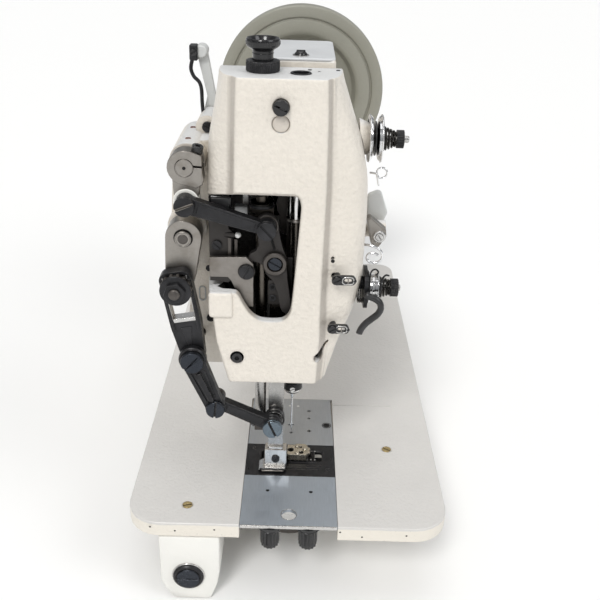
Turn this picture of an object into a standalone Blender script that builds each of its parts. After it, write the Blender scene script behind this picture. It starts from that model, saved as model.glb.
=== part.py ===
"""Long-arm flat-bed bag closing machine head.

Lengths are millimetres from the needle axis at the top surface of the needle
plate, scaled once by MM.  +X (right) is the operator side with the thread
tensions, -Y (front) the face cover, +Y (back) the handwheel, +Z up.  The last
step puts the origin at the middle of the bounding box's base.
"""
import bpy
import bmesh
import math
from mathutils import Vector, Matrix

MM = 0.001
GAP = 0.3                      # clearance between neighbouring pieces
RUN = 0.35                     # running clearance of bores
CLAMP_FIT = 0.1                # clearance of a crank clamped on its shaft

# ---- driving dimensions -------------------------------------------------
BED_LEFT, BED_RIGHT = -133.0, 131.0
BED_FRONT, BED_BACK = -91.0, 435.0
BED_T = 14.0
BED_R_FRONT, BED_R_BACK = 28.0, 20.0
PLATE_T = 3.0                  # slide plate, feed insert and needle plate
PLATE_HW = 39.7                # half width of the three plates
INSERT_FRONT, INSERT_BACK = -28.0, 17.0
NEEDLE_PLATE_BACK = 92.4
PLATE_SCREWS = ((-34.6, 49.2), (33.7, 48.6))
LEG_FOOT_Z = -82.0             # lowest point of the machine

FACE_Y, SPLIT_Y, HEAD_BACK = -38.0, 5.0, 50.0   # the cover meets the arm at SPLIT_Y
HEAD_TOP, HEAD_BOT = 344.0, 102.0
SHAFT_Z = 231.0                # main shaft and handwheel axis
MAIN_SHAFT_R, MAIN_SHAFT_LEN, MAIN_SHAFT_BACK = 12.0, 441.0, 478.0
WHEEL_R, WHEEL_Y = 105.0, 458.0
ARM_Z0, ARM_Z1, ARM_HW = 188.0, 296.0, 44.0
PILLAR_Y0, PILLAR_Y1, PILLAR_HW = 292.0, 426.0, 52.0

# X, Z of the axes that run along Y
MAIN_SHAFT = (0.0, SHAFT_Z)
UPPER_ROCK = (-83.0, 276.0)
CRANK_PIN = (-82.5, 250.3)
LINK_PIN = (-22.2, 232.7)
BELL_AXIS = (-15.9, 202.5)
LOWER_ROCK = (-86.2, 219.6)
ADJ_PIN = (-91.3, 182.6)
ROCKER_AXIS = (-80.2, 121.7)
LEVER_PIN = (-62.7, 76.8)
FOOT_PIN = (-15.8, 54.6)
WALK_AXIS = (-13.5, 182.0)
RELEASE_AXIS = (66.4, 212.0)
LIFT_AXIS = (-72.0, 292.0)
FEED_SHAFT = (-82.4, -56.0)
FACE_SCREW = (-13.0, 325.0)

# Y, Z of the axes that run along X
TENSION_UP = (15.0, 291.0)
TENSION_LOW = (-5.0, 175.0)

# X, Y of the axes that run along Z
PRESSER = (-26.9, -12.0)
NEEDLE = (0.0, 0.0)

UPPER_ROCK_R, LOWER_ROCK_R = 6.5, 6.4
FEED_SHAFT_R = 8.0
PIN_R = 3.25                   # shanks of the linkage screws
STUD_R = 4.45                  # shank of the rocker stud
RELEASE_SHAFT_R = 3.0
LIFT_STUD_R = 4.0
TENSION_STUD_R = 2.5
KNOB_STEM_R = 7.4              # pressure knob
PLUG_R, PLUG_LEN, PLUG_SEAT_Y = 12.7, 10.4, -84.0
CRANK_THROW = 23.0
CRANK_TOP = (0.0, SHAFT_Z + CRANK_THROW)
LINK_Z = 178.0                 # needle bar clamp pin
LINK_FOOT = (0.0, LINK_Z)
NEEDLE_TIP = 28.0

BASE_CENTRE = ((BED_LEFT + BED_RIGHT) / 2,
               (PLUG_SEAT_Y - GAP - PLUG_LEN + MAIN_SHAFT_BACK) / 2,
               LEG_FOOT_Z)

# ---- materials ----------------------------------------------------------
LOOKS = {                      # base colour, roughness, metallic
    "cream": ((0.83, 0.79, 0.71), 0.45, 0.0),
    "bedgrey": ((0.66, 0.66, 0.63), 0.5, 0.0),
    "lightgrey": ((0.70, 0.71, 0.71), 0.45, 0.0),
    "black": ((0.025, 0.025, 0.028), 0.35, 0.6),
    "blackplastic": ((0.02, 0.02, 0.022), 0.45, 0.0),
    "steel": ((0.42, 0.40, 0.38), 0.38, 1.0),
    "polished": ((0.72, 0.72, 0.72), 0.18, 1.0),
    "chrome": ((0.85, 0.85, 0.86), 0.08, 1.0),
    "plate": ((0.40, 0.43, 0.46), 0.35, 1.0),
    "wheel": ((0.46, 0.45, 0.38), 0.42, 0.0),
    "castiron": ((0.20, 0.19, 0.18), 0.6, 0.8),
    "brass": ((0.62, 0.50, 0.26), 0.32, 1.0),
}


def material(name, look):
    rgb, roughness, metallic = LOOKS[look]
    mat = bpy.data.materials.new(name)
    mat.use_nodes = True
    shader = mat.node_tree.nodes["Principled BSDF"]
    shader.inputs["Base Color"].default_value = (*rgb, 1.0)
    shader.inputs["Roughness"].default_value = roughness
    shader.inputs["Metallic"].default_value = metallic
    mat.diffuse_color = (*rgb, 1.0)
    return mat


# ---- scene --------------------------------------------------------------
for old in list(bpy.data.objects):
    bpy.data.objects.remove(old, do_unlink=True)

PARTS = bpy.data.collections.new("bag_closer_sewing_machine")
CUTS = bpy.data.collections.new("cutters")
for collection in (PARTS, CUTS):
    bpy.context.scene.collection.children.link(collection)


# ---- outlines: lists of points in a plane -------------------------------
def arc(centre, radius, steps, start, end):
    """Points on an arc including both ends; angles in degrees."""
    angles = [math.radians(start + (end - start) * i / steps) for i in range(steps + 1)]
    return [(centre[0] + radius * math.cos(a), centre[1] + radius * math.sin(a)) for a in angles]


def knurl(centre, even_radius, odd_radius, steps):
    """Circle whose points alternate between two radii."""
    points = []
    for i in range(steps):
        angle = 2 * math.pi * i / steps
        radius = odd_radius if i % 2 else even_radius
        points.append((centre[0] + radius * math.cos(angle), centre[1] + radius * math.sin(angle)))
    return points


def circle(centre, radius, steps):
    return knurl(centre, radius, radius, steps)


def shifted(centre, offsets):
    return [(centre[0] + x, centre[1] + y) for x, y in offsets]


def hull(points):
    """Convex outline of points, anticlockwise."""
    ordered = sorted(set((round(p[0], 5), round(p[1], 5)) for p in points))

    def half(sequence):
        out = []
        for p in sequence:
            while len(out) > 1 and ((out[-1][0] - out[-2][0]) * (p[1] - out[-2][1])
                                    - (out[-1][1] - out[-2][1]) * (p[0] - out[-2][0])) <= 1e-9:
                out.pop()
            out.append(p)
        return out
    return half(ordered)[:-1] + half(reversed(ordered))[:-1]


def belt(*discs, steps):
    """Outline wrapped round discs given as (centre, radius)."""
    return hull([p for centre, radius in discs for p in circle(centre, radius, steps)])


def dogbone(start, start_radius, end, end_radius, start_waist, end_waist, steps=14):
    """Two round ends joined by a narrower tapering bar (half widths are the waists)."""
    heading = math.degrees(math.atan2(end[1] - start[1], end[0] - start[0]))
    start_cut = math.degrees(math.asin(start_waist / start_radius))
    end_cut = math.degrees(math.asin(end_waist / end_radius))
    return (arc(start, start_radius, steps, heading + start_cut, heading + 360.0 - start_cut)
            + arc(end, end_radius, steps, heading + 180.0 + end_cut, heading + 540.0 - end_cut))


def rounded(x0, x1, y0, y1, radii, steps):
    """Rounded rectangle; one radius, or four anticlockwise from the lower left."""
    if not isinstance(radii, tuple):
        radii = (radii,) * 4
    corners = ((x0, y0, 180), (x1, y0, 270), (x1, y1, 0), (x0, y1, 90))
    points = []
    for (x, y, start), radius in zip(corners, radii):
        centre = (x + (radius if x == x0 else -radius), y + (radius if y == y0 else -radius))
        points += arc(centre, radius, steps, start, start + 90)
    return points


# ---- solids -------------------------------------------------------------
# A solid without a look is a helper that only feeds a boolean.
def add_object(name, mesh, look):
    body = bpy.data.objects.new(name, mesh)
    if look:
        PARTS.objects.link(body)
        mesh.materials.append(material(name + "_mat", look))
    else:
        CUTS.objects.link(body)
        body.hide_render = True
        body.display_type = "WIRE"
    return body


def from_bmesh(name, bm, look):
    mesh = bpy.data.meshes.new(name)
    bmesh.ops.recalc_face_normals(bm, faces=bm.faces)
    bm.to_mesh(mesh)
    bm.free()
    return add_object(name, mesh, look)


def on_axis(axis, centre, distance):
    """Point on a line along `axis` through `centre`, its other two coordinates."""
    point = list(centre)
    point.insert("XYZ".index(axis), distance)
    return tuple(point)


def box(name, x_span, y_span, z_span, look=None):
    (x0, x1), (y0, y1), (z0, z1) = x_span, y_span, z_span
    bm = bmesh.new()
    bmesh.ops.create_cube(bm, size=1.0)
    for v in bm.verts:
        v.co = Vector(((x0 + x1) / 2 + v.co.x * (x1 - x0),
                       (y0 + y1) / 2 + v.co.y * (y1 - y0),
                       (z0 + z1) / 2 + v.co.z * (z1 - z0))) * MM
    return from_bmesh(name, bm, look)


def rod(name, axis, centre, start, end, radius, look=None, steps=24, end_radius=None):
    """Cylinder or cone along an axis from start to end."""
    foot, tip = (Vector(on_axis(axis, centre, d)) for d in (start, end))
    run = tip - foot
    bm = bmesh.new()
    bmesh.ops.create_cone(bm, cap_ends=True, segments=steps, radius1=radius,
                          radius2=radius if end_radius is None else end_radius,
                          depth=run.length)
    turn = Vector((0, 0, 1)).rotation_difference(run.normalized()).to_matrix().to_4x4()
    place = Matrix.Scale(MM, 4) @ Matrix.Translation((foot + tip) / 2) @ turn
    bmesh.ops.transform(bm, matrix=place, verts=bm.verts)
    return from_bmesh(name, bm, look)


# Drawing plane of an outline, by the axis it is extruded along
PLANES = {
    "X": Matrix(((0, 0, 1, 0), (1, 0, 0, 0), (0, 1, 0, 0), (0, 0, 0, 1))),
    "Y": Matrix(((1, 0, 0, 0), (0, 0, -1, 0), (0, 1, 0, 0), (0, 0, 0, 1))),
    "Z": Matrix.Identity(4),
}


def curve_mesh(name, curve, matrix, look):
    """Evaluate a curve into a clean mesh object and drop the curve."""
    holder = bpy.data.objects.new(name + "_curve", curve)
    CUTS.objects.link(holder)
    bpy.context.view_layer.update()
    depsgraph = bpy.context.evaluated_depsgraph_get()
    mesh = bpy.data.meshes.new_from_object(holder.evaluated_get(depsgraph))
    mesh.name = name
    bm = bmesh.new()
    bm.from_mesh(mesh)
    bmesh.ops.transform(bm, matrix=matrix, verts=bm.verts)
    bmesh.ops.remove_doubles(bm, verts=bm.verts, dist=1e-6)
    bmesh.ops.recalc_face_normals(bm, faces=bm.faces)
    bm.to_mesh(mesh)
    bm.free()
    bpy.data.objects.remove(holder, do_unlink=True)
    bpy.data.curves.remove(curve)
    return add_object(name, mesh, look)


def flat(name, axis, outline, start, end, look=None, holes=()):
    """Flat outline with holes, extruded along an axis from start to end."""
    curve = bpy.data.curves.new(name + "_outline", "CURVE")
    curve.dimensions = "2D"
    curve.fill_mode = "BOTH"
    curve.extrude = (end - start) / 2 * MM
    for loop in (outline, *holes):
        spline = curve.splines.new("POLY")
        spline.points.add(len(loop) - 1)
        for point, (x, y) in zip(spline.points, loop):
            point.co = (x * MM, y * MM, 0.0, 1.0)
        spline.use_cyclic_u = True
    middle = on_axis(axis, (0, 0), (start + end) / 2 * MM)
    return curve_mesh(name, curve, Matrix.Translation(middle) @ PLANES[axis], look)


def wire(name, points, radius, look, resolution):
    """Round wire through points with closed ends."""
    curve = bpy.data.curves.new(name + "_path", "CURVE")
    curve.dimensions = "3D"
    curve.bevel_depth = radius * MM
    curve.bevel_resolution = resolution
    curve.use_fill_caps = True
    spline = curve.splines.new("POLY")
    spline.points.add(len(points) - 1)
    for point, (x, y, z) in zip(spline.points, points):
        point.co = (x * MM, y * MM, z * MM, 1.0)
    return smooth(curve_mesh(name, curve, Matrix.Identity(4), look), 60)


def coil(name, axis, centre, start, end, start_radius, end_radius, turns, wire_radius, look):
    """Coil spring with eight points to a turn."""
    points = []
    for i in range(turns * 8 + 1):
        t = i / (turns * 8)
        angle = 2 * math.pi * i / 8
        radius = start_radius + (end_radius - start_radius) * t
        around = (centre[0] + radius * math.cos(angle), centre[1] + radius * math.sin(angle))
        points.append(on_axis(axis, around, start + (end - start) * t))
    return wire(name, points, wire_radius, look, 1)


DIRECTIONS = {                 # turns +Z to the named direction
    "+Z": Matrix.Identity(4),
    "-Y": Matrix.Rotation(math.pi / 2, 4, "X"),
    "+Y": Matrix.Rotation(-math.pi / 2, 4, "X"),
    "+X": Matrix.Rotation(math.pi / 2, 4, "Y"),
}


def turned(name, profile, direction, origin, look, steps, closed=False):
    """Turned piece: (radius, height) pairs swept round an axis.

    Heights are measured from `origin` towards `direction`.
    """
    mesh = bpy.data.meshes.new(name)
    last = len(profile) - 1
    edges = [(i, i + 1) for i in range(last)] + ([(last, 0)] if closed else [])
    mesh.from_pydata([(radius * MM, 0.0, height * MM) for radius, height in profile], edges, [])
    body = add_object(name, mesh, look)
    body.matrix_world = Matrix.Translation(Vector(origin) * MM) @ DIRECTIONS[direction]
    screw = body.modifiers.new("turn", "SCREW")
    screw.steps = screw.render_steps = steps
    screw.use_merge_vertices = True
    screw.merge_threshold = 1e-6
    screw.use_smooth_shade = True
    return body


def skin(name, rings, look=None):
    """Closed body through successive rings of (x, y, z) points."""
    bm = bmesh.new()
    loops = [[bm.verts.new(Vector(point) * MM) for point in ring] for ring in rings]
    count = len(loops[0])
    for near, far in zip(loops, loops[1:]):
        for i in range(count):
            j = (i + 1) % count
            bm.faces.new((near[i], near[j], far[j], far[i]))
    bm.faces.new(loops[0])
    bm.faces.new(loops[-1])
    return from_bmesh(name, bm, look)


def loft_z(name, levels, section, look=None):
    """Body whose (x, y) outline at each level z is section(z)."""
    return skin(name, [[(x, y, z) for x, y in section(z)] for z in levels], look)


def loft_y(name, stations, look=None):
    """Body through (y, outline in X and Z) stations."""
    return skin(name, [[(x, y, z) for x, z in ring] for y, ring in stations], look)


# ---- modifiers, shading and origins -------------------------------------
def combine(body, operation, tools):
    for tool in tools:
        mod = body.modifiers.new(operation.lower() + "_" + tool.name[:30], "BOOLEAN")
        mod.operation = operation
        mod.object = tool
        mod.solver = "EXACT"


def cut(body, *tools):
    combine(body, "DIFFERENCE", tools)


def join(body, *tools):
    combine(body, "UNION", tools)


def bevel(body, width, segments, angle):
    mod = body.modifiers.new("edge", "BEVEL")
    mod.width = width * MM
    mod.segments = segments
    mod.limit_method = "ANGLE"
    mod.angle_limit = math.radians(angle)
    mod.use_clamp_overlap = True


def smooth(body, angle=35):
    body.data.shade_smooth()
    body.data.set_sharp_from_angle(angle=math.radians(angle))
    return body


def pivot(body, axis, centre, distance=0.0):
    """Put the origin on a joint axis; the mesh is still in world coordinates."""
    point = Vector(on_axis(axis, centre, distance)) * MM
    body.data.transform(Matrix.Translation(-point))
    body.matrix_world = Matrix.Translation(point)


# ---- bed ----------------------------------------------------------------
BED_CUT_TOP, BED_CUT_BOTTOM = 4.0, -30.0   # Z where the cuts clear the bed
WEB_UNDERSIDE = -8.0                       # bed thins to this Z where hollowed


def build_bed():
    corners = (BED_R_FRONT, BED_R_FRONT, BED_R_BACK, BED_R_BACK)
    bed = flat("bed_casting", "Z", rounded(BED_LEFT, BED_RIGHT, BED_FRONT, BED_BACK, corners, 6),
               -BED_T, 0.0, "bedgrey")
    bevel(bed, 1.2, 1, 60)
    recess = (-PLATE_HW - GAP, PLATE_HW + GAP)
    recess_front, recess_floor = -60.0, -PLATE_T - GAP
    through = (BED_CUT_BOTTOM, BED_CUT_TOP)
    hollow = (BED_CUT_BOTTOM, WEB_UNDERSIDE)
    hollow_back = 423.0
    cut(bed,
        box("cut_plate_recess", recess, (recess_front, NEEDLE_PLATE_BACK + GAP),
            (recess_floor, BED_CUT_TOP)),
        box("cut_front_slot", recess, (-100.0, recess_front), through),
        box("cut_shuttle_well", (-33.0, 33.0), (-70.0, 84.0), through),
        box("cut_under_left", (-121.0, -44.0), (-48.0, hollow_back), hollow),
        box("cut_under_right", (44.0, 119.0), (-79.0, hollow_back), hollow),
        box("cut_under_rear", (-38.0, 38.0), (98.0, hollow_back), hollow))
    for k, centre in enumerate(PLATE_SCREWS):
        join(bed, rod("boss_plate_screw_%d" % k, "Z", centre, -13.5, recess_floor, 6.0, steps=16))
        cut(bed, rod("tap_plate_screw_%d" % k, "Z", centre, -20.0, 2.0, 2.1, steps=12))
    rear_bracket = [(-104, -7.0), (-104, -62), (-94, -74), (-70, -74), (-60, -62), (-60, -7.0)]
    join(bed, flat("shaft_bracket_rear", "Y", rear_bracket, 380.0, 402.0,
                   holes=(circle(FEED_SHAFT, FEED_SHAFT_R + RUN, 20),)))


def build_front_bracket():
    top = -BED_T - GAP
    outline = [(-106, top), (-106, -62), (-102, -72), (-95, LEG_FOOT_Z), (-64, LEG_FOOT_Z),
               (-58.5, -66), (-56, -50), (-56, top)]
    leg = flat("shaft_bracket_front", "Y", outline, -91.5, -52.0, "cream")
    bevel(leg, 2.0, 2, 50)
    cut(leg,
        rod("cut_leg_bore", "Y", FEED_SHAFT, -100, -40, FEED_SHAFT_R + RUN, steps=20),
        rod("cut_plug_seat", "Y", FEED_SHAFT, -95, PLUG_SEAT_Y, PLUG_R + GAP, steps=28))


def build_centre_plug():
    profile = [(0, PLUG_LEN), (11.6, PLUG_LEN), (PLUG_R, PLUG_LEN - 1.0), (PLUG_R, 0.0), (0, 0.0)]
    plug = turned("centre_plug", profile, "-Y", on_axis("Y", FEED_SHAFT, PLUG_SEAT_Y - GAP),
                  "black", 28)
    x, z = FEED_SHAFT
    cut(plug, box("cut_plug_slot", (x - 11, x + 11), (-98, -92.6), (z - 1.3, z + 1.3)))


# ---- plates -------------------------------------------------------------
NEEDLE_PLATE_HOLES = (         # x, y, radius, steps
    (17, 72, 1.3, 10), (17, 59.5, 1.3, 10), (17, 39, 1.6, 10),
    (-2.3, 48.4, 1.0, 8), (1.4, 48.6, 1.0, 8), (0, 36, 1.2, 8),
)
SLIDE_PLATE_HOLES = (          # x, y, radius, steps
    (-18.7, -47.8, 1.7, 12), (18.2, -48.5, 1.7, 12), (0, -77.3, 6.4, 20),
)
PLATE_KNOB_Y = -83.0
PLATE_KNOBS = (("left", -15.2, 10.0), ("right", 16.1, 9.8))   # side, x, flange radius


def round_holes(table):
    return tuple(circle((x, y), radius, steps) for x, y, radius, steps in table)


def build_plates():
    back_hw = PLATE_HW - 1.4
    flat("needle_plate", "Z",
         [(-PLATE_HW, INSERT_BACK + GAP), (PLATE_HW, INSERT_BACK + GAP),
          (back_hw, NEEDLE_PLATE_BACK), (-back_hw, NEEDLE_PLATE_BACK)],
         -PLATE_T, 0.0, "plate",
         holes=tuple(circle(centre, 3.4, 14) for centre in PLATE_SCREWS)
         + round_holes(NEEDLE_PLATE_HOLES))
    flat("feed_insert", "Z",
         [(-PLATE_HW, INSERT_FRONT + GAP), (PLATE_HW, INSERT_FRONT + GAP),
          (PLATE_HW, INSERT_BACK), (-PLATE_HW, INSERT_BACK)],
         -PLATE_T, 0.0, "black", holes=(rounded(-26.5, 28.5, -7.0, 7.0, 2.0, 3),))
    flat("slide_plate", "Z",
         [(-PLATE_HW, BED_FRONT), (PLATE_HW, BED_FRONT),
          (PLATE_HW, INSERT_FRONT - GAP), (-PLATE_HW, INSERT_FRONT - GAP)],
         -PLATE_T, 0.0, "plate", holes=round_holes(SLIDE_PLATE_HOLES))


def build_plate_knobs():
    for side, x, flange_radius in PLATE_KNOBS:
        centre = (x, PLATE_KNOB_Y)
        grip = flat("plate_knob_" + side, "Z", knurl(centre, 7.5, 6.6, 28), -25.5, -5.5,
                    "blackplastic")
        join(grip,
             rod("flange_knob_" + side, "Z", centre, -6.5, -PLATE_T - GAP, flange_radius,
                 steps=20),
             rod("crown_knob_" + side, "Z", centre, -27.0, -24.0, 5.0, end_radius=6.4))
        pivot(grip, "Z", centre, -5.0)


# ---- feed and shuttle below the bed -------------------------------------
FEED_CRANK_EYE = (-52.0, -22.0)            # X, Z
SHUTTLE = (0.0, -8.0, -40.0)               # datum on the shuttle axis


def build_feed_shaft():
    shaft = rod("feed_rock_shaft", "Y", FEED_SHAFT, -83.0, 404.0, FEED_SHAFT_R, "steel", steps=20)
    pivot(shaft, "Y", FEED_SHAFT)
    join(shaft, flat("feed_crank", "Y",
                     belt((FEED_SHAFT, 13.0), (FEED_CRANK_EYE, 6.0), steps=16), 6.0, 16.0,
                     holes=(circle(FEED_CRANK_EYE, 2.6, 12),)))


def build_feed_dog():
    left, right, bottom, shoulder = -20.0, 22.0, -8.0, 0.2
    tooth_pitch, tooth_count, tooth_tip, tooth_root = 3.0, 13, 0.9, -0.5
    outline = [(left, bottom), (right, bottom), (right, shoulder)]
    for i in range(tooth_count):
        x = right - tooth_pitch * i
        outline += [(x - 0.2, tooth_tip), (x - tooth_pitch, tooth_root)]
    outline.append((left, shoulder))
    dog = flat("feed_dog", "Y", outline, -5.6, 5.6, "brass")
    slot_y, slot_z = (-1.2, 1.2), (-3.0, 5.0)
    cut(dog,
        flat("cut_dog_needle", "Z", rounded(-5.6, 5.6, -1.9, 1.9, 1.8, 3), -12.0, 5.0),
        box("cut_dog_slot_a", (-17.5, -3.5), slot_y, slot_z),
        box("cut_dog_slot_b", (4.5, 19.5), slot_y, slot_z))
    join(dog, box("dog_shank", (-29.0, -14.0), (2.0, 5.4), (-30.0, -6.0)))


def build_shuttle():
    turned("shuttle_race",
           [(22.0, 18.0), (28.0, 18.0), (28.0, 0.0), (9.0, 0.0), (9.0, 2.5), (22.0, 2.5)],
           "-Y", SHUTTLE, "castiron", 32, closed=True)
    hook = turned("shuttle_hook",
                  [(0, 17.0), (7.0, 17.0), (7.0, 14.0), (21.4, 14.0), (21.4, 3.0), (0, 3.0)],
                  "-Y", SHUTTLE, "polished", 32)
    axis_z = SHUTTLE[2]
    cut(hook, box("cut_hook_beak", (4.0, 30.0), (-40.0, -2.0), (axis_z + 4.0, axis_z + 12.0)))
    turned("shuttle_shaft",
           [(0, 420.0), (7.0, 420.0), (7.0, 18.0), (6.0, 17.0), (6.0, -2.0), (5.0, -2.7),
            (0, -2.7)],
           "+Y", SHUTTLE, "steel", 20)


# ---- outlines shared by the arm casting and the face cover --------------
# Each table is (z, x), from the top down
HEAD_LEFT = [
    (344, -57.0), (320, -61.8), (293, -67.6), (258, -69.2), (187, -69.6), (170, -68.0),
    (156, -66.5), (134, -62.5), (118, -59.0), (102, -55.5)]
HEAD_RIGHT = [
    (344, 29.2), (320, 37.5), (293, 47.0), (269, 52.4), (242, 53.6), (187, 53.0),
    (170, 50.0), (156, 46.5), (134, 37.5), (118, 33.0), (102, 27.0)]
GROOVE_LEFT = [
    (344, -45.6), (262, -46.6), (187, -52.0), (170, -60.0), (156, -60.5), (134, -56.6),
    (102, -49.6)]
GROOVE_RIGHT = [(344, 20.1), (173, 19.3), (102, 17.5)]
LEVELS = [102, 105, 118, 134, 156, 170, 187, 214, 242, 258, 269, 293, 320, 341, 344]


def x_at(table, z):
    """X interpolated from a (z, x) table."""
    for (z0, x0), (z1, x1) in zip(table, table[1:]):
        if (z0 - z) * (z1 - z) <= 0:
            return x0 + (x1 - x0) * ((z - z0) / (z1 - z0))


def head_ring(inset, z_low, z_high):
    """Head outline in X and Z between two levels, drawn in by inset."""
    levels = [z_low] + [z for z in LEVELS if z_low < z < z_high] + [z_high]
    return ([(x_at(HEAD_RIGHT, z) - inset, z) for z in levels]
            + [(x_at(HEAD_LEFT, z) + inset, z) for z in reversed(levels)])


def lower_top(ring, drop):
    """Lower the upper part of the outline, by the full drop at its top."""
    fixed_z = 230.0
    return [(x, z - drop * max(0.0, z - fixed_z) / (HEAD_TOP - fixed_z)) for x, z in ring]


# ---- arm, pillar and head shell -----------------------------------------
RIGHT_ARM_EDGE = [             # x, z from the bottom up
    (ARM_HW - 10.0, ARM_Z0), (ARM_HW, ARM_Z0 + 12.0), (ARM_HW, 243.0),
    (ARM_HW - 9.0, 261.0), (31.0, 286.0), (23.0, ARM_Z1)]
ARM_WALL = 11.0                # above and below the tunnel
TUNNEL = [                     # x, z
    (-30, ARM_Z0 + ARM_WALL), (30, ARM_Z0 + ARM_WALL), (33, 206), (33, 240), (22, 276),
    (14, ARM_Z1 - ARM_WALL), (-14, ARM_Z1 - ARM_WALL), (-22, 276), (-33, 240), (-33, 206)]
ROCK_WEB = [                   # x, z
    (-60, 180), (-60, 290), (-66, 288), (-88, 286), (-96, 276), (-99, 228), (-98, 214),
    (-90, 196), (-84, 180)]
ROCKER_BRACKET = [             # x, z
    (-60, 92), (-60, 190), (-84, 184), (-87, 150), (-90, 124), (-86, 113), (-78, 108),
    (-75, 92)]
SHELL_HOLES_Y = (              # name, (x, z), y from, y to, radius, steps
    ("cut_main_bore", MAIN_SHAFT, 400, 460, MAIN_SHAFT_R + RUN, 24),
    ("cut_upper_rock_bore", UPPER_ROCK, -30, 90, UPPER_ROCK_R + RUN, 20),
    ("cut_lower_rock_bore", LOWER_ROCK, -30, 90, LOWER_ROCK_R + RUN, 20),
    ("cut_rocker_bore", ROCKER_AXIS, -30, 60, 5.0 + RUN, 16),
)
OIL_HOLES = (                  # name, (x, y), z from, z to, radius, steps
    ("cut_oil_a", (-84.1, 38.7), 284, 300, 1.8, 10),
    ("cut_oil_b", (-83.7, 6.1), 284, 300, 1.8, 10),
    ("cut_oil_top", (-0.8, 12.0), 325, 350, 2.4, 16),
)


def rods(axis, table):
    """One helper rod for each (name, centre, start, end, radius, steps)."""
    return [rod(name, axis, centre, start, end, radius, steps=steps)
            for name, centre, start, end, radius, steps in table]


def shell_additions():
    """Arm, pillar and bosses that are united with the head."""
    arm_ring = RIGHT_ARM_EDGE + [(-x, z) for x, z in reversed(RIGHT_ARM_EDGE)]
    flange_hw = PILLAR_HW + 10
    return (
        flat("arm_beam", "Y", arm_ring, HEAD_BACK - 4.0, 420.0),
        flat("arm_pillar", "Z", rounded(-PILLAR_HW, PILLAR_HW, PILLAR_Y0, PILLAR_Y1, 14.0, 3),
             GAP, 244.0),
        flat("arm_flange", "Z",
             rounded(-flange_hw, flange_hw, PILLAR_Y0 - 10, PILLAR_Y1 + 4, 16.0, 3), GAP, 12.0),
        rod("arm_wheel_hub", "Y", MAIN_SHAFT, 418, 441, 26.0, steps=32),
        rod("upper_rock_boss", "Y", UPPER_ROCK, -8.0, 58.0, 13.4, steps=28),
        flat("rock_boss_web", "Y", ROCK_WEB, 8.0, 46.0),
        rod("lower_rock_boss", "Y", LOWER_ROCK, 2.0, 62.0, 15.5, steps=28),
        flat("rocker_bracket", "Y", ROCKER_BRACKET, 9.0, 31.0),
        rod("lift_boss", "Y", LIFT_AXIS, 30.0, 60.0, 9.0, steps=20),
        rod("lift_stud", "Y", LIFT_AXIS, 50.0, 70.0, LIFT_STUD_R, steps=16))


def build_arm_casting():
    ring = head_ring(0.0, HEAD_BOT, HEAD_TOP)
    back_ring = [(x * 0.96, z) for x, z in lower_top(ring, 26.0)]
    shell = loft_y("arm_casting",
                   [(SPLIT_Y + GAP, ring), (22.0, lower_top(ring, 8.0)), (HEAD_BACK, back_ring)],
                   "cream")
    join(shell, *shell_additions())
    cavity = head_ring(8.0, HEAD_BOT + 8.0, HEAD_TOP - 9.0)
    cut(shell,
        loft_y("cut_head_cavity", [(-10.0, cavity), (8.0, cavity),
                                   (42.0, lower_top(cavity, 24.0))]),
        box("cut_head_floor", (-36.0, 16.0), (-10.0, 30.0), (90.0, 125.0)),
        flat("cut_arm_tunnel", "Y", TUNNEL, 38.0, 408.0),
        box("cut_pillar_well", (-38.0, 38.0), (306.0, 406.0), (-5.0, 220.0)),
        *rods("Y", SHELL_HOLES_Y),
        *rods("Z", OIL_HOLES))
    join(shell, rod("release_boss", "X", (30.0, RELEASE_AXIS[1]), 40.0, 72.5, 7.0, steps=16))
    cut(shell, rod("cut_release_bore", "Y", RELEASE_AXIS, 15, 45, RELEASE_SHAFT_R + RUN, steps=14))
    smooth(shell, 30)


# ---- face cover ---------------------------------------------------------
SHOULDER_Y, FLANK_Y, RIM_Y = -8.0, -25.0, -35.2   # corners of the cover flanks
LIP_Y, GROOVE_Y, INNER_LIP_Y = -35.8, -34.4, -37.4
RIM_OFFSET = 4.0               # rim outside the groove
COVER_INNER_LEVELS = [110, 118, 134, 156, 170, 187, 214, 242, 258, 269, 293, 320, 336]
WINDOW = [                     # x, z
    (-90.0, 182.0), (-47.0, 182.0), (-43.0, 180.0), (-40.5, 174.5), (-36.0, 166.5),
    (-31.0, 161.0), (-25.0, 158.0), (-13.0, 158.0), (-8.5, 158.8), (-4.5, 163.0),
    (-2.4, 172.0), (2.5, 250.0), (2.5, 255.0), (0.5, 260.0), (-4.0, 262.0), (-90.0, 262.0)]
THREAD_NOTCH = [               # x, z
    (16.2, 123.4), (16.0, 127.0), (19.0, 130.6), (21.8, 134.0), (24.6, 138.6), (27.6, 139.0),
    (25.6, 135.2), (23.4, 130.6), (23.4, 125.4), (20.4, 122.0)]
FACE_HOLES = (                 # name, (x, z), y from, y to, radius, steps
    ("cut_face_screw", FACE_SCREW, -60, -20, 3.2, 16),
    ("cut_keyhole", (FACE_SCREW[0], 313.0), -60, LIP_Y, 6.2, 24),
    ("cut_face_screw_low", (-44.7, 125.6), -60, -20, 2.2, 12),
)
TOP_HOLES = (                  # name, (x, y), z from, z to, radius, steps
    ("cut_presser_screw", PRESSER, 330.0, 350.0, 8.0 + RUN, 24),
    ("cut_needle_top_c", (0.0, -16.5), 330, 350, 7.6, 20),
)
GUIDE_HOLES = (                # name, (x, z), y from, y to, radius, steps
    ("cut_guide_a", (29.5, 195.4), -60, 0, 2.0, 10),
    ("cut_guide_b", (27.8, 209.8), -60, 0, 1.4, 10),
    ("cut_guide_c", (28.0, 153.5), -60, 0, 2.0, 10),
)


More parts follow.
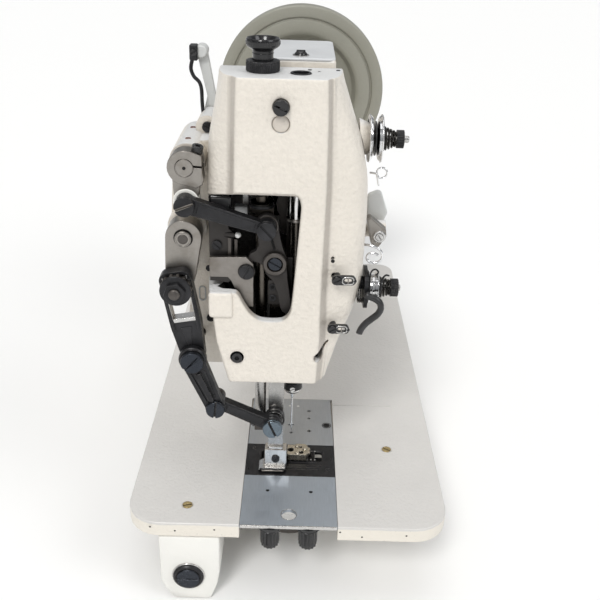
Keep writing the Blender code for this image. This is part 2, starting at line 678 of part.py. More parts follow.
def cover_section(z):
    """Outer (x, y) outline of the cover at height z, left to right round the front."""
    left, right = x_at(HEAD_LEFT, z), x_at(HEAD_RIGHT, z)
    groove_l, groove_r = x_at(GROOVE_LEFT, z), x_at(GROOVE_RIGHT, z)
    rim_l, rim_r = groove_l - RIM_OFFSET, groove_r + RIM_OFFSET
    # the flanks grow fuller over the top 60 mm
    fullness = max(0.0, min(1.0, (HEAD_TOP - z) / 60.0))
    inward = 0.42 - 0.16 * fullness
    return [(left, SPLIT_Y), (left + 0.4, SHOULDER_Y), (left + (rim_l - left) * inward, FLANK_Y),
            (rim_l, RIM_Y), (groove_l - 1.6, LIP_Y), (groove_l, GROOVE_Y),
            (groove_l + 1.6, INNER_LIP_Y), (groove_l + 4.5, FACE_Y),
            (groove_r - 4.5, FACE_Y), (groove_r - 1.6, INNER_LIP_Y),
            (groove_r, GROOVE_Y), (groove_r + 1.6, LIP_Y), (rim_r, RIM_Y),
            (right + (rim_r - right) * inward, FLANK_Y), (right - 0.4, SHOULDER_Y),
            (right, SPLIT_Y)]


def cover_inner(z):
    """Inner (x, y) outline of the cover at height z."""
    wall, flank_y, front_y = 7.0, -20.0, -29.0
    left, right = x_at(HEAD_LEFT, z) + wall, x_at(HEAD_RIGHT, z) - wall
    groove_l, groove_r = x_at(GROOVE_LEFT, z), x_at(GROOVE_RIGHT, z)
    back = SPLIT_Y + 3
    return [(left, back), (left + 0.4, SHOULDER_Y), (left + 6.0, flank_y),
            (groove_l + 1.0, front_y), (groove_r - 1.0, front_y), (right - 6.0, flank_y),
            (right - 0.4, SHOULDER_Y), (right, back)]


def build_face_cover():
    cover = loft_z("face_cover", LEVELS, cover_section, "cream")
    bevel(cover, 1.6, 1, 62)
    join(cover, flat("cover_pad", "Y", rounded(-64.5, -47.5, 161.0, 182.5, 4.0, 3), -40.2, -33.0))
    cut(cover,
        loft_z("cut_cover_cavity", COVER_INNER_LEVELS, cover_inner),
        flat("cut_window", "Y", WINDOW, -60.0, -5.0),
        box("cut_cover_side", (-90.0, -58.0), (-20.0, 20.0), (182.0, 262.0)),
        box("cut_cover_floor", (-36.0, 16.0), (-17.0, 20.0), (90.0, 125.0)),
        *rods("Y", FACE_HOLES),
        *rods("Z", TOP_HOLES),
        *rods("Y", GUIDE_HOLES),
        flat("cut_thread_notch", "Y", THREAD_NOTCH, -60.0, -35.6))
    smooth(cover, 40)


def build_face_screw():
    screw = turned("face_screw",
                   [(0, 3.6), (4.6, 3.6), (5.7, 2.6), (5.7, 0.0), (3.0, 0.0), (3.0, -12.0),
                    (0, -12.0)],
                   "-Y", on_axis("Y", FACE_SCREW, FACE_Y - GAP), "black", 24)
    slot = [(-19.5, 321.6), (-6.5, 327.6), (-6.0, 328.6), (-19.0, 322.6)]
    cut(screw, flat("cut_face_slot", "Y", slot, -45.0, -40.2))


def build_top_cover():
    step_y, step_z = HEAD_BACK + 0.6, ARM_Z1 + GAP
    outline = [(17.0, 339.4), (22.0, 337.0), (step_y, 319.0), (step_y, step_z),
               (101.0, step_z), (101.0, 343.0), (97.0, 347.0), (19.0, 347.0), (17.0, 345.6)]
    top = flat("top_cover", "X", outline, -23.5, 25.5, "lightgrey")
    bevel(top, 2.2, 1, 70)
    smooth(top)


# ---- presser bar, spring, foot and knob ---------------------------------
def build_guide_plate():
    outline = [(-66.0, 191.0), (-66.0, 207.0), (-38.0, 208.0), (-32.5, 202.0), (-32.5, 166.0),
               (-37.0, 166.0), (-43.5, 174.0), (-49.5, 188.0), (-52.0, 191.0)]
    plate = flat("guide_plate", "Y", outline, -28.2, -25.2, "steel")
    join(plate, rod("guide_standoff", "Y", (-62.3, 199.0), -26.0, SPLIT_Y, 3.6, steps=14))


def build_presser_bar():
    coil("pressure_spring", "Z", PRESSER, 246.5, 319.5, 8.0, 8.0, 8, 1.3, "castiron")
    top, bottom, radius = 318.0, 51.0, 4.6
    bar = turned("presser_bar", [(0, top), (radius, top), (radius, bottom), (0, bottom)],
                 "+Z", (*PRESSER, 0), "polished", 20)
    x, y = PRESSER
    join(bar, box("presser_collar", (x - 9, x + 9), (y - 5.8, y + 6), (226.0, 244.0)))


def build_presser_foot():
    foot = box("presser_foot", (-31.8, -23.6), (-16.5, -5.0), (40.0, 50.7), "brass")
    join(foot,
         box("foot_bridge", (-31.8, -9.2), (-8.3, -3.4), (41.0, 50.0)),
         box("foot_stem", (-19.0, -9.2), (-8.1, -3.6), (5.5, 45.0)),
         flat("foot_sole", "Z", rounded(-19.2, 16.0, -7.6, 9.5, 3.0, 2), 1.6, 5.8))
    cut(foot,
        rod("cut_foot_needle", "Z", NEEDLE, -5, 20, 2.6, steps=14),
        rod("cut_foot_hole", "Z", (9.5, -3.5), -5, 20, 2.0, steps=12))


def build_pressure_knob():
    profile = [(0, 363.4), (8.8, 363.4), (9.8, 366.4), (11.2, 367.0), (11.9, 365.6),
               (11.9, 361.8), (10.8, 360.2), (7.6, 357.8), (KNOB_STEM_R, 345.6),
               (KNOB_STEM_R, 322.0), (0, 322.0)]
    knob = turned("pressure_knob", profile, "+Z", (*PRESSER, 0), "black", 26)
    cut(knob, rod("cut_knob_bore", "Z", PRESSER, 315.0, 356.0, 5.2, steps=16))
    flat("knob_lock_ring", "Z", knurl(PRESSER, 11.9, 11.2, 36), HEAD_TOP + GAP, HEAD_TOP + 7.5,
         "black", holes=(circle(PRESSER, KNOB_STEM_R + GAP, 28),))


# ---- main shaft and needle bar train ------------------------------------
LINK_PIN_R = 4.0               # pin of the needle bar clamp


def build_main_shaft():
    turned("main_shaft",
           [(0, 0.0), (MAIN_SHAFT_R - 1.0, 0.0), (MAIN_SHAFT_R, -1.0),
            (MAIN_SHAFT_R, -MAIN_SHAFT_LEN), (0, -MAIN_SHAFT_LEN)],
           "+Y", on_axis("Y", MAIN_SHAFT, MAIN_SHAFT_BACK), "steel", 24)


def build_needle_crank():
    front, back = 27.0, 36.7
    crank = flat("needle_crank", "Y", belt((MAIN_SHAFT, 17.0), (CRANK_TOP, 10.0), steps=28),
                 front, back, "castiron")
    join(crank,
         rod("crank_pin", "Y", CRANK_TOP, 24.2, 28.0, 5.0, steps=18),
         flat("crank_weight", "Y", arc(MAIN_SHAFT, 27.0, 14, 200, 340), front, back))
    pivot(crank, "Y", MAIN_SHAFT)


def build_needle_bar():
    bar = turned("needle_bar", [(0, 318.0), (5.3, 318.0), (5.9, 317.4), (5.9, 82.0), (0, 82.0)],
                 "+Z", (0, 0, 0), "polished", 20)
    join(bar,
         box("needle_bar_clamp", (-8.5, 8.5), (-5.5, 9.0), (LINK_Z - 9.0, LINK_Z + 9.0)),
         rod("bar_clamp_pin", "Y", LINK_FOOT, 8.0, 25.0, LINK_PIN_R, steps=16))


def build_needle_link():
    link = flat("needle_link", "Y", belt((LINK_FOOT, 8.0), (CRANK_TOP, 9.0), steps=20),
                17.0, 23.8, "castiron", holes=(circle(LINK_FOOT, LINK_PIN_R + RUN, 16),))
    pivot(link, "Y", LINK_FOOT)


def build_needle():
    clamp = turned("needle_clamp",
                   [(0, 81.7), (7.8, 81.7), (8.4, 81.0), (8.4, 75.0), (6.5, 71.5), (0, 71.5)],
                   "+Z", (0, 0, 0), "black", 24)
    cut(clamp,
        rod("cut_needle_seat", "Z", NEEDLE, 60, 78, 1.3, steps=10),
        rod("cut_clamp_tap", "Y", (0, 77.5), -20, -3, 1.6, steps=10))
    turned("needle",
           [(0, 77.7), (1.1, 77.7), (1.1, 58.0), (0.85, 56.0), (0.85, 34.0),
            (0.1, NEEDLE_TIP), (0, NEEDLE_TIP)],
           "+Z", (0, 0, 0), "polished", 10)


# ---- handwheel ----------------------------------------------------------
WHEEL_PROFILE = [              # radius, distance to the front of WHEEL_Y
    (12.4, 12.0), (31.0, 12.0), (31.0, -7.0), (66.0, -7.0), (72.0, 3.5), (87.5, 3.5),
    (88.6, 1.8), (90.2, 1.8), (91.3, 3.5), (102.5, 3.5), (WHEEL_R, 1.0), (WHEEL_R, -16.0),
    (WHEEL_R - 2.5, -18.5), (76.0, -18.5), (70.0, -13.0), (28.0, -13.0), (28.0, -19.0),
    (12.4, -19.0)]


def build_handwheel():
    turned("handwheel", WHEEL_PROFILE, "-Y", on_axis("Y", MAIN_SHAFT, WHEEL_Y), "wheel", 40,
           closed=True)


# ---- linkage on the left of the head ------------------------------------
def hinge_screw(name, centre, seat_y, head_radius, head_height, shank_radius, shank_len,
                slot_angle, look=None):
    """Shouldered hinge screw along +Y with a slotted head facing -Y."""
    edge, slot_hw, slot_depth = 0.9, 0.7, 1.4
    profile = [(0, head_height), (head_radius - edge, head_height),
               (head_radius, head_height - edge), (head_radius, 0.0),
               (shank_radius, 0.0), (shank_radius, -shank_len), (0, -shank_len)]
    screw = turned(name, profile, "-Y", on_axis("Y", centre, seat_y), look, 24)
    cos, sin = math.cos(math.radians(slot_angle)), math.sin(math.radians(slot_angle))
    reach = head_radius + 2
    corners = ((-reach, -slot_hw), (reach, -slot_hw), (reach, slot_hw), (-reach, slot_hw))
    slot = shifted(centre, [(cos * x - sin * y, sin * x + cos * y) for x, y in corners])
    top_y = seat_y - head_height
    cut(screw, flat("cut_slot_" + name, "Y", slot, top_y - 5.0, top_y + slot_depth))
    return screw


def build_upper_rock():
    shaft = rod("upper_rock_shaft", "Y", UPPER_ROCK, -26.5, 66.0, UPPER_ROCK_R, "steel")
    pivot(shaft, "Y", UPPER_ROCK)
    lug = shifted(UPPER_ROCK, [(8.0, 11.0), (12.8, 9.0), (13.0, -12.0), (9.0, -15.0)])
    slit = shifted(UPPER_ROCK, [(4.0, 2.2), (30.0, 0.6), (30.0, -1.0), (4.0, 0.6)])
    ear_root = shifted(UPPER_ROCK, [(-9.0, -9.0), (11.0, -10.0)])
    crank = flat("upper_split_crank", "Y", hull(circle(UPPER_ROCK, 12.6, 28) + lug),
                 -26.0, -12.0, "steel", holes=(circle(UPPER_ROCK, UPPER_ROCK_R + CLAMP_FIT, 24),))
    bevel(crank, 0.9, 1, 50)
    cut(crank, flat("cut_crank_slit", "Y", slit, -40.0, 0.0))
    join(crank,
         flat("crank_ear", "Y", hull(ear_root + circle(CRANK_PIN, 8.6, 20)), -25.0, -13.0),
         hinge_screw("crank_pin_screw", CRANK_PIN, -34.6, 7.1, 4.2, PIN_R, 14.0, 20))
    smooth(crank)
    pivot(crank, "Y", UPPER_ROCK)


def build_upper_link():
    link = flat("upper_link", "Y", dogbone(CRANK_PIN, 7.6, LINK_PIN, 7.4, 6.3, 4.6),
                -34.0, -26.6, "black",
                holes=(circle(CRANK_PIN, PIN_R + RUN, 16), circle(LINK_PIN, PIN_R + 0.6, 16)))
    pivot(link, "Y", CRANK_PIN)


def build_bell_crank():
    bell = flat("bell_crank", "Y", belt((LINK_PIN, 8.5), (BELL_AXIS, 7.0), steps=14),
                -25.8, -18.5, "castiron")
    left_root, = shifted(BELL_AXIS, [(-3, 7)])
    join(bell,
         flat("bell_arm_low", "Y", belt((BELL_AXIS, 9.0), ((-10.0, 166.0), 5.0), steps=14),
              -26.6, -18.9),
         flat("bell_arm_left", "Y", belt((left_root, 6.0), ((-27.4, 206.0), 3.6), steps=14),
              -25.4, -19.2),
         rod("bell_hub", "Y", BELL_AXIS, -28.6, -17.0, 7.4, steps=18))
    cut(bell, rod("cut_bell_bore", "Y", BELL_AXIS, -40, 0, 4.0 + RUN, steps=18))
    join(bell, hinge_screw("link_pin_screw", LINK_PIN, -34.6, 6.6, 3.2, PIN_R, 11.0, -48))
    pivot(bell, "Y", BELL_AXIS)


def build_lower_rock():
    shaft = rod("lower_rock_shaft", "Y", LOWER_ROCK, -24.5, 70.0, LOWER_ROCK_R, "steel")
    pivot(shaft, "Y", LOWER_ROCK)
    arm_end, = shifted(ADJ_PIN, [(1.5, 4.0)])
    arm = flat("lower_rock_arm", "Y", belt((LOWER_ROCK, 13.8), (arm_end, 11.5), steps=28),
               -22.0, -6.0, "steel",
               holes=(circle(LOWER_ROCK, LOWER_ROCK_R + CLAMP_FIT, 24), circle(ADJ_PIN, 4.4, 16)))
    bevel(arm, 1.0, 1, 50)
    smooth(arm)
    pivot(arm, "Y", LOWER_ROCK)


def build_adjusting_nut():
    profile = [(0, 0.0), (4.5, 0.0), (4.5, -2.5), (8.0, -3.0), (11.4, -5.5), (11.4, -9.0),
               (8.6, -9.6), (8.6, -11.4), (8.7, -11.4), (8.7, -22.0), (4.25, -22.2),
               (4.25, -37.5), (0, -37.5)]
    turned("adjusting_nut", profile, "-Y", on_axis("Y", ADJ_PIN, -44.5), "black", 24)


def on_rocker(along, across):
    """X, Z of a point placed along and across the line from rocker axis to nut."""
    run_x, run_z = ADJ_PIN[0] - ROCKER_AXIS[0], ADJ_PIN[1] - ROCKER_AXIS[1]
    length = math.hypot(run_x, run_z)
    unit_x, unit_z = run_x / length, run_z / length
    return (ROCKER_AXIS[0] + unit_x * along - unit_z * across,
            ROCKER_AXIS[1] + unit_z * along + unit_x * across)


ROCKER_SLOT = (                # along, across
    (33.0, -9.2), (31.6, -7.8), (31.6, 7.8), (33.0, 9.2),
    (70.0, 9.2), (72.0, 7.0), (72.0, -7.0), (70.0, -9.2))


def build_slotted_rocker():
    outline = belt((ROCKER_AXIS, 9.4), (on_rocker(30.0, 0.0), 12.4),
                   (on_rocker(68.0, -5.5), 7.0), (on_rocker(68.0, 5.5), 7.0), steps=20)
    slot = [on_rocker(along, across) for along, across in ROCKER_SLOT]
    rocker = flat("slotted_rocker", "Y", outline, -32.2, -22.6, "black",
                  holes=(circle(ROCKER_AXIS, 6.2, 18), slot))
    bevel(rocker, 0.8, 1, 50)
    pivot(rocker, "Y", ROCKER_AXIS)


def build_tapered_lever():
    lever = flat("tapered_lever", "Y", belt((ROCKER_AXIS, 9.6), (LEVER_PIN, 7.4), steps=20),
                 -39.4, -32.6, "black", holes=(circle(ROCKER_AXIS, STUD_R + 0.45, 18),))
    rib_top, = shifted(ROCKER_AXIS, [(5.0, -13.4)])
    rib_foot, = shifted(LEVER_PIN, [(-3.0, 9.5)])
    join(lever,
         flat("lever_rib", "Y", belt((rib_top, 2.4), (rib_foot, 2.0), steps=10), -42.0, -39.0),
         hinge_screw("lever_pin_screw", LEVER_PIN, -39.0, 7.2, 3.6, PIN_R, 16.0, 86))
    pivot(lever, "Y", ROCKER_AXIS)
    hinge_screw("rocker_stud", ROCKER_AXIS, -39.8, 9.0, 4.0, STUD_R, 74.0, 52, "black")


def build_foot_link():
    link = flat("foot_link", "Y", dogbone(LEVER_PIN, 7.2, FOOT_PIN, 7.4, 4.7, 5.2),
                -32.1, -24.4, "black", holes=(circle(LEVER_PIN, PIN_R + RUN, 16),))
    join(link, hinge_screw("foot_pin_screw", FOOT_PIN, -32.0, 7.9, 4.2, PIN_R, 4.0, -68))
    pivot(link, "Y", LEVER_PIN)


# ---- walking foot bar ---------------------------------------------------
WALK_PIN_R = 3.5


def build_walking_bar():
    bar = box("walking_bar", (-20.0, -7.0), (-16.0, -9.2), (21.3, 192.0), "polished")
    boss_centre, = shifted(FOOT_PIN, [(1.5, 1.0)])
    join(bar, rod("walk_boss", "Y", boss_centre, -23.8, -15.8, 8.0))
    cut(bar, rod("cut_walk_pivot", "Y", WALK_AXIS, -40, 20, WALK_PIN_R + RUN, steps=16))
    pivot(bar, "Y", WALK_AXIS)


def build_walking_foot():
    foot = box("walking_foot", (-22.5, -3.6), (-19.5, -9.2), (2.2, 21.0), "steel")
    sole = [(-28.0, 1.2), (-24.0, 3.6), (-5.0, 3.6), (-3.6, 1.2)]
    join(foot, flat("walk_sole", "Y", sole, -22.5, -8.9))


def build_walking_guide():
    guide = box("walking_bar_guide", (-21.3, -2.5), (-8.8, -6.3), (158.0, 200.0), "castiron")
    join(guide, rod("walk_pivot_pin", "Y", WALK_AXIS, -17.5, -7.0, WALK_PIN_R, steps=16))


# ---- thread tensions on the right of the head ---------------------------
TENSION_NUTS = (               # name, (y, z), even radius, odd radius, x from, x to, origin x
    ("tension_nut_upper", TENSION_UP, 6.1, 6.7, 73.9, 79.6, 76.0),
    ("tension_nut_lower", TENSION_LOW, 6.3, 6.9, 76.2, 82.6, 81.0),
)


def tension_disc(name, x, facing, radius=18.3):
    """Dished disc on the upper tension; facing is +1 or -1 along X."""
    profile = [(2.9, 0.9), (9.5, 0.9), (radius - 2.5, 2.2), (radius, 4.4), (radius - 0.5, 5.1),
               (radius - 3.2, 3.3), (8.5, 2.1), (2.9, 2.1)]
    if facing > 0:
        profile.reverse()
    turned(name, [(r, facing * height) for r, height in profile], "+X",
           on_axis("X", TENSION_UP, x), "chrome", 26, closed=True)


def build_upper_tension():
    post = turned("tension_post_upper",
                  [(0, 83.5), (2.0, 83.5), (TENSION_STUD_R, 83.0), (TENSION_STUD_R, 54.6),
                   (9.5, 54.6), (12.0, 52.0), (15.0, 45.0), (0, 45.0)],
                  "+X", on_axis("X", TENSION_UP, 0.0), "cream", 28)
    cut(post, flat("cut_post_seat", "Y", head_ring(-0.2, 240, 340), -8.0, 60.0))
    tension_disc("tension_disc_a", 57.6, -1)
    tension_disc("tension_disc_b", 57.9, 1)
    coil("tension_spring_upper", "X", TENSION_UP, 64.0, 72.6, 9.2, 4.6, 4, 0.7, "black")


def lower_seat_section(z):
    """(x, y) outline just clear of the cover's right flank."""
    left, right, groove = (x_at(t, z) for t in (HEAD_LEFT, HEAD_RIGHT, GROOVE_RIGHT))
    flank = right + 0.3 + (groove + RIM_OFFSET - right) * 0.26
    return [(left, 6.0), (0, -37.0), (groove + 4.3, -35.4), (flank, -25.2),
            (right + 0.1, SHOULDER_Y), (right + 0.3, 6.0)]


def build_lower_tension():
    y, z = TENSION_LOW
    plate = flat("tension_plate_lower", "X", rounded(y - 15, y + 14, z - 14, z + 15, 6.0, 3),
                 54.5, 57.5, "castiron")
    join(plate,
         rod("stud_lower", "X", TENSION_LOW, 56.0, 84.0, TENSION_STUD_R, steps=16),
         rod("seat_lower", "X", (y + 8, z), 48.5, 55.0, 5.5, steps=16))
    cut(plate,
        flat("cut_lower_seat", "Y", head_ring(-0.25, 140, 230), -8.0, 60.0),
        loft_z("cut_lower_seat_b", [140, 156, 170, 187, 214, 230], lower_seat_section))
    turned("tension_discs_lower",
           [(2.9, 65.2), (10.0, 65.2), (13.0, 66.8), (13.5, 66.0), (10.6, 63.4),
            (10.6, 61.8), (13.5, 59.2), (13.0, 58.4), (10.0, 60.0), (2.9, 60.0)],
           "+X", on_axis("X", TENSION_LOW, -0.3), "chrome", 24, closed=True)
    coil("tension_spring_lower", "X", TENSION_LOW, 66.8, 74.8, 8.6, 5.2, 4, 0.7, "black")


def build_tension_nuts():
    for name, centre, even_radius, odd_radius, start, end, origin_x in TENSION_NUTS:
        nut = flat(name, "X", knurl(centre, even_radius, odd_radius, 28), start, end, "black",
                   holes=(circle(centre, TENSION_STUD_R + RUN, 16),))
        pivot(nut, "X", centre, origin_x)


def build_finger_lever():
    """Curved finger lever that opens the lower tension."""
    path = [(55.0, -24.0, 178.5), (57.5, -25.0, 176.0), (62.5, -26.0, 175.1),
            (67.0, -26.5, 172.0), (68.1, -27.0, 167.0), (66.0, -27.5, 162.0),
            (61.0, -28.0, 158.0), (56.6, -28.0, 154.0), (53.4, -28.0, 149.5),
            (51.6, -28.0, 144.0)]
    finger = wire("finger_lever", path, 2.9, "blackplastic", 3)
    pivot(finger, "X", path[0][1:], path[0][0])


# ---- release crank on the operator side ---------------------------------
def build_release():
    outline = [(55.2, 226.5), (58.5, 228.0), (71.5, 217.5), (72.0, 212.0), (66.5, 203.0),
               (62.5, 202.0), (59.5, 207.0)]
    crank = flat("release_crank", "Y", hull(outline), 12.0, 20.0, "steel",
                 holes=(circle(RELEASE_AXIS, RELEASE_SHAFT_R + CLAMP_FIT, 16),))
    slit = shifted(RELEASE_AXIS, [(-1.9, -2.0), (-0.9, -2.6), (-4.5, -12.0), (-5.5, -12.0)])
    cut(crank, flat("cut_release_slit", "Y", slit, 0, 40))
    pivot(crank, "Y", RELEASE_AXIS)
    shaft = rod("release_shaft", "Y", RELEASE_AXIS, 10.8, 52.0, RELEASE_SHAFT_R, "lightgrey",
                steps=16)
    pivot(shaft, "Y", RELEASE_AXIS)
    paddle = belt(((61.4, 234.0), 3.9), ((65.8, 236.0), 3.8), ((70.8, 221.4), 4.0),
                  (RELEASE_AXIS, 5.6), steps=12)
    join(shaft, flat("release_paddle_blade", "Y", paddle, 42.0, 47.0))


# ---- thread guides ------------------------------------------------------
THREAD_GUIDES = (              # name, z, x from, x to
    ("thread_guide_upper", 195.2, 27.5, 46.0),
    ("thread_guide_lower", 153.0, 26.0, 43.0),
)


def right_flank_y(x, z):
    """Y of the cover's surface at (x, z), right of the right groove."""
    flank = cover_section(z)[10:]
    for (x0, y0), (x1, y1) in zip(flank, flank[1:]):
        if x0 <= x <= x1:
            return y0 + (y1 - y0) * (x - x0) / (x1 - x0)


def build_thread_guides():
    half_height, thickness, stand_off = 3.9, 2.2, 3.0
    for name, z, left, right in THREAD_GUIDES:
        back = min(right_flank_y(left + 1, z), right_flank_y(right - 1, z)) - stand_off
        eye = rounded(right - 9.0, right - 3.0, z - 1.6, z + 1.6, 1.5, 2)
        guide = flat(name, "Y",
                     rounded(left, right, z - half_height, z + half_height, 3.2, 3),
                     back - thickness, back, "black", holes=(eye,))
        join(guide, rod("stem_" + name, "Y", (left + 4.0, z), back - 1.0,
                        right_flank_y(left + 1.2, z) - 0.45, 2.6, steps=14))


def build_wire_guide():
    loop_radius = 4.1
    path = [(55.2, 15.0, 263.9), (58.0, 14.0, 264.0), (60.5, 12.0, 264.0)]
    for i in range(13):
        angle = math.radians(180 + 30 * i)
        path.append((64.8 + loop_radius * math.cos(angle), 12.0 + 0.22 * i,
                     264.4 + loop_radius * math.sin(angle)))
    path += [(62.0, 15.6, 258.5), (63.4, 15.8, 253.0)]
    wire("wire_guide", path, 0.9, "chrome", 1)


# ---- hand lifter at the back of the head --------------------------------
def build_lifter():
    knee, tip = (-71.4, 309.0), (-78.4, 344.0)
    lever = flat("lift_lever", "Y", belt((LIFT_AXIS, 7.0), (knee, 3.4), steps=16), 61.0, 67.0,
                 "lightgrey", holes=(circle(LIFT_AXIS, LIFT_STUD_R + RUN, 16),))
    join(lever,
         flat("lift_arm", "Y", belt((knee, 3.3), (tip, 4.2), steps=16), 61.2, 66.8),
         rod("lift_head", "Y", (-78.6, 344.0), 57.5, 69.0, 5.2, steps=20))
    pivot(lever, "Y", LIFT_AXIS)


# ---- assembly -----------------------------------------------------------
def move_to_base():
    """Put the world origin at the middle of the base."""
    bpy.context.view_layer.update()
    move = Matrix.Translation(-Vector(BASE_CENTRE) * MM)
    for body in list(PARTS.objects) + list(CUTS.objects):
        body.matrix_world = move @ body.matrix_world


for build in (
        build_bed, build_front_bracket, build_centre_plug, build_plates, build_plate_knobs,
        build_feed_shaft, build_feed_dog, build_shuttle,
        build_arm_casting, build_face_cover, build_face_screw, build_top_cover,
        build_guide_plate, build_presser_bar, build_presser_foot, build_pressure_knob,
        build_main_shaft, build_needle_crank, build_needle_bar, build_needle_link, build_needle,
        build_handwheel,
        build_upper_rock, build_upper_link, build_bell_crank, build_lower_rock,
        build_adjusting_nut, build_slotted_rocker, build_tapered_lever, build_foot_link,
        build_walking_bar, build_walking_foot, build_walking_guide,
        build_upper_tension, build_lower_tension, build_tension_nuts, build_finger_lever,
        build_release, build_thread_guides, build_wire_guide, build_lifter):
    build()
move_to_base()
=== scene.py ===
import bpy, bmesh, math
from mathutils import Vector, Matrix


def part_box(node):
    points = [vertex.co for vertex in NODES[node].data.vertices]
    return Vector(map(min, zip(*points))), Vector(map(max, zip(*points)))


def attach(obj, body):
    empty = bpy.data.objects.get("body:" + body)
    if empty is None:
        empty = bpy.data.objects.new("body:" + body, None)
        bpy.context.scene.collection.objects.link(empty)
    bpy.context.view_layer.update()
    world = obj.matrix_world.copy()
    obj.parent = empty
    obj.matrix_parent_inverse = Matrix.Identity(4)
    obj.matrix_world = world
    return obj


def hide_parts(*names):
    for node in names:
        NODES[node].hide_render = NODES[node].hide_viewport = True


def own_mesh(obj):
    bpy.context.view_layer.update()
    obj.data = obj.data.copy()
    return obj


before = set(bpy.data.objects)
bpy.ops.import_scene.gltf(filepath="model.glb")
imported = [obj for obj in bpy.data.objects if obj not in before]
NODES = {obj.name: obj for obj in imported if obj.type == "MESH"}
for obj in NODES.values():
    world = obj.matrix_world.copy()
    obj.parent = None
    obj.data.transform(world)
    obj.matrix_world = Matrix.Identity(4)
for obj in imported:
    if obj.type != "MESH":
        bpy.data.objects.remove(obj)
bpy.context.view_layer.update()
MM = 0.001
BASE = Vector((0.001, -0.19165, 0.082))   # needle point in the row frame

# ------------------------------------------------------------------ materials
def _nodes(name):
    m = bpy.data.materials.new(name)
    m.use_nodes = True
    nt = m.node_tree
    b = nt.nodes["Principled BSDF"]
    return m, nt, b


class G:
    """Small helper round a node tree."""
    def __init__(self, nt):
        self.nt = nt
        off = nt.nodes.new("ShaderNodeVectorMath")
        off.operation = "SUBTRACT"
        nt.links.new(nt.nodes.new("ShaderNodeTexCoord").outputs["Object"], off.inputs[0])
        off.inputs[1].default_value = BASE
        self.co = off.outputs["Vector"]

    def link(self, a, b):
        self.nt.links.new(a, b)

    def val(self, sock, v):
        if hasattr(v, "is_output") or isinstance(v, bpy.types.NodeSocket):
            self.link(v, sock)
        else:
            sock.default_value = v

    def mapping(self, scale, rot=(0, 0, 0)):
        n = self.nt.nodes.new("ShaderNodeMapping")
        n.inputs["Scale"].default_value = scale
        n.inputs["Rotation"].default_value = rot
        self.link(self.co, n.inputs["Vector"])
        return n.outputs["Vector"]

    def noise(self, scale, detail=3.0, rough=0.55, vec=None, dist=0.0):
        n = self.nt.nodes.new("ShaderNodeTexNoise")
        n.inputs["Scale"].default_value = scale
        n.inputs["Detail"].default_value = detail
        n.inputs["Roughness"].default_value = rough
        n.inputs["Distortion"].default_value = dist
        self.link(vec if vec is not None else self.co, n.inputs["Vector"])
        return n.outputs["Fac"]

    def voronoi(self, scale, vec=None, feature="F1"):
        n = self.nt.nodes.new("ShaderNodeTexVoronoi")
        n.feature = feature
        n.inputs["Scale"].default_value = scale
        self.link(vec if vec is not None else self.co, n.inputs["Vector"])
        return n.outputs["Distance"]

    def ramp(self, fac, lo, hi, a=0.0, b=1.0):
        n = self.nt.nodes.new("ShaderNodeMapRange")
        n.clamp = True
        self.link(fac, n.inputs["Value"])
        n.inputs["From Min"].default_value = lo
        n.inputs["From Max"].default_value = hi
        n.inputs["To Min"].default_value = a
        n.inputs["To Max"].default_value = b
        return n.outputs["Result"]

    def math(self, op, a, b=0.0, c=0.0):
        n = self.nt.nodes.new("ShaderNodeMath")
        n.operation = op
        self.val(n.inputs[0], a)
        self.val(n.inputs[1], b)
        if len(n.inputs) > 2:
            self.val(n.inputs[2], c)
        return n.outputs[0]

    def mix(self, fac, a, b, mode="MIX"):
        n = self.nt.nodes.new("ShaderNodeMix")
        n.data_type = "RGBA"
        n.blend_type = mode
        self.val(n.inputs["Factor"], fac)
        for s, v in ((n.inputs[6], a), (n.inputs[7], b)):
            if isinstance(v, bpy.types.NodeSocket):
                self.link(v, s)
            else:
                s.default_value = (v[0], v[1], v[2], 1.0)
        return n.outputs[2]

    def bump(self, height, strength, dist, normal=None):
        n = self.nt.nodes.new("ShaderNodeBump")
        n.inputs["Strength"].default_value = strength
        n.inputs["Distance"].default_value = dist
        self.link(height, n.inputs["Height"])
        if normal is not None:
            self.link(normal, n.inputs["Normal"])
        return n.outputs["Normal"]

    def bevel(self, radius, samples=4):
        n = self.nt.nodes.new("ShaderNodeBevel")
        n.samples = samples
        n.inputs["Radius"].default_value = radius
        return n.outputs["Normal"]

    def edge(self, radius, lo=0.02, hi=0.35):
        """1 on sharp edges, 0 on flats."""
        bn = self.bevel(radius)
        g = self.nt.nodes.new("ShaderNodeNewGeometry").outputs["Normal"]
        d = self.nt.nodes.new("ShaderNodeVectorMath")
        d.operation = "DOT_PRODUCT"
        self.link(bn, d.inputs[0])
        self.link(g, d.inputs[1])
        return self.ramp(self.math("SUBTRACT", 1.0, d.outputs["Value"]), lo, hi)

    def curve(self, fac, pts):
        """Piecewise linear table as a node."""
        n = self.nt.nodes.new("ShaderNodeFloatCurve")
        c = n.mapping.curves[0]
        while len(c.points) < len(pts):
            c.points.new(0.5, 0.5)
        for p, (x, y) in zip(c.points, pts):
            p.location = (x, y)
            p.handle_type = "VECTOR"
        n.mapping.update()
        self.link(fac, n.inputs["Value"])
        return n.outputs["Value"]

    def xyz(self):
        n = self.nt.nodes.new("ShaderNodeSeparateXYZ")
        self.link(self.co, n.inputs[0])
        return n.outputs

    def ao(self, dist, samples=6, inside=False):
        n = self.nt.nodes.new("ShaderNodeAmbientOcclusion")
        n.samples = samples
        n.inside = inside
        n.inputs["Distance"].default_value = dist
        return n.outputs["AO"]


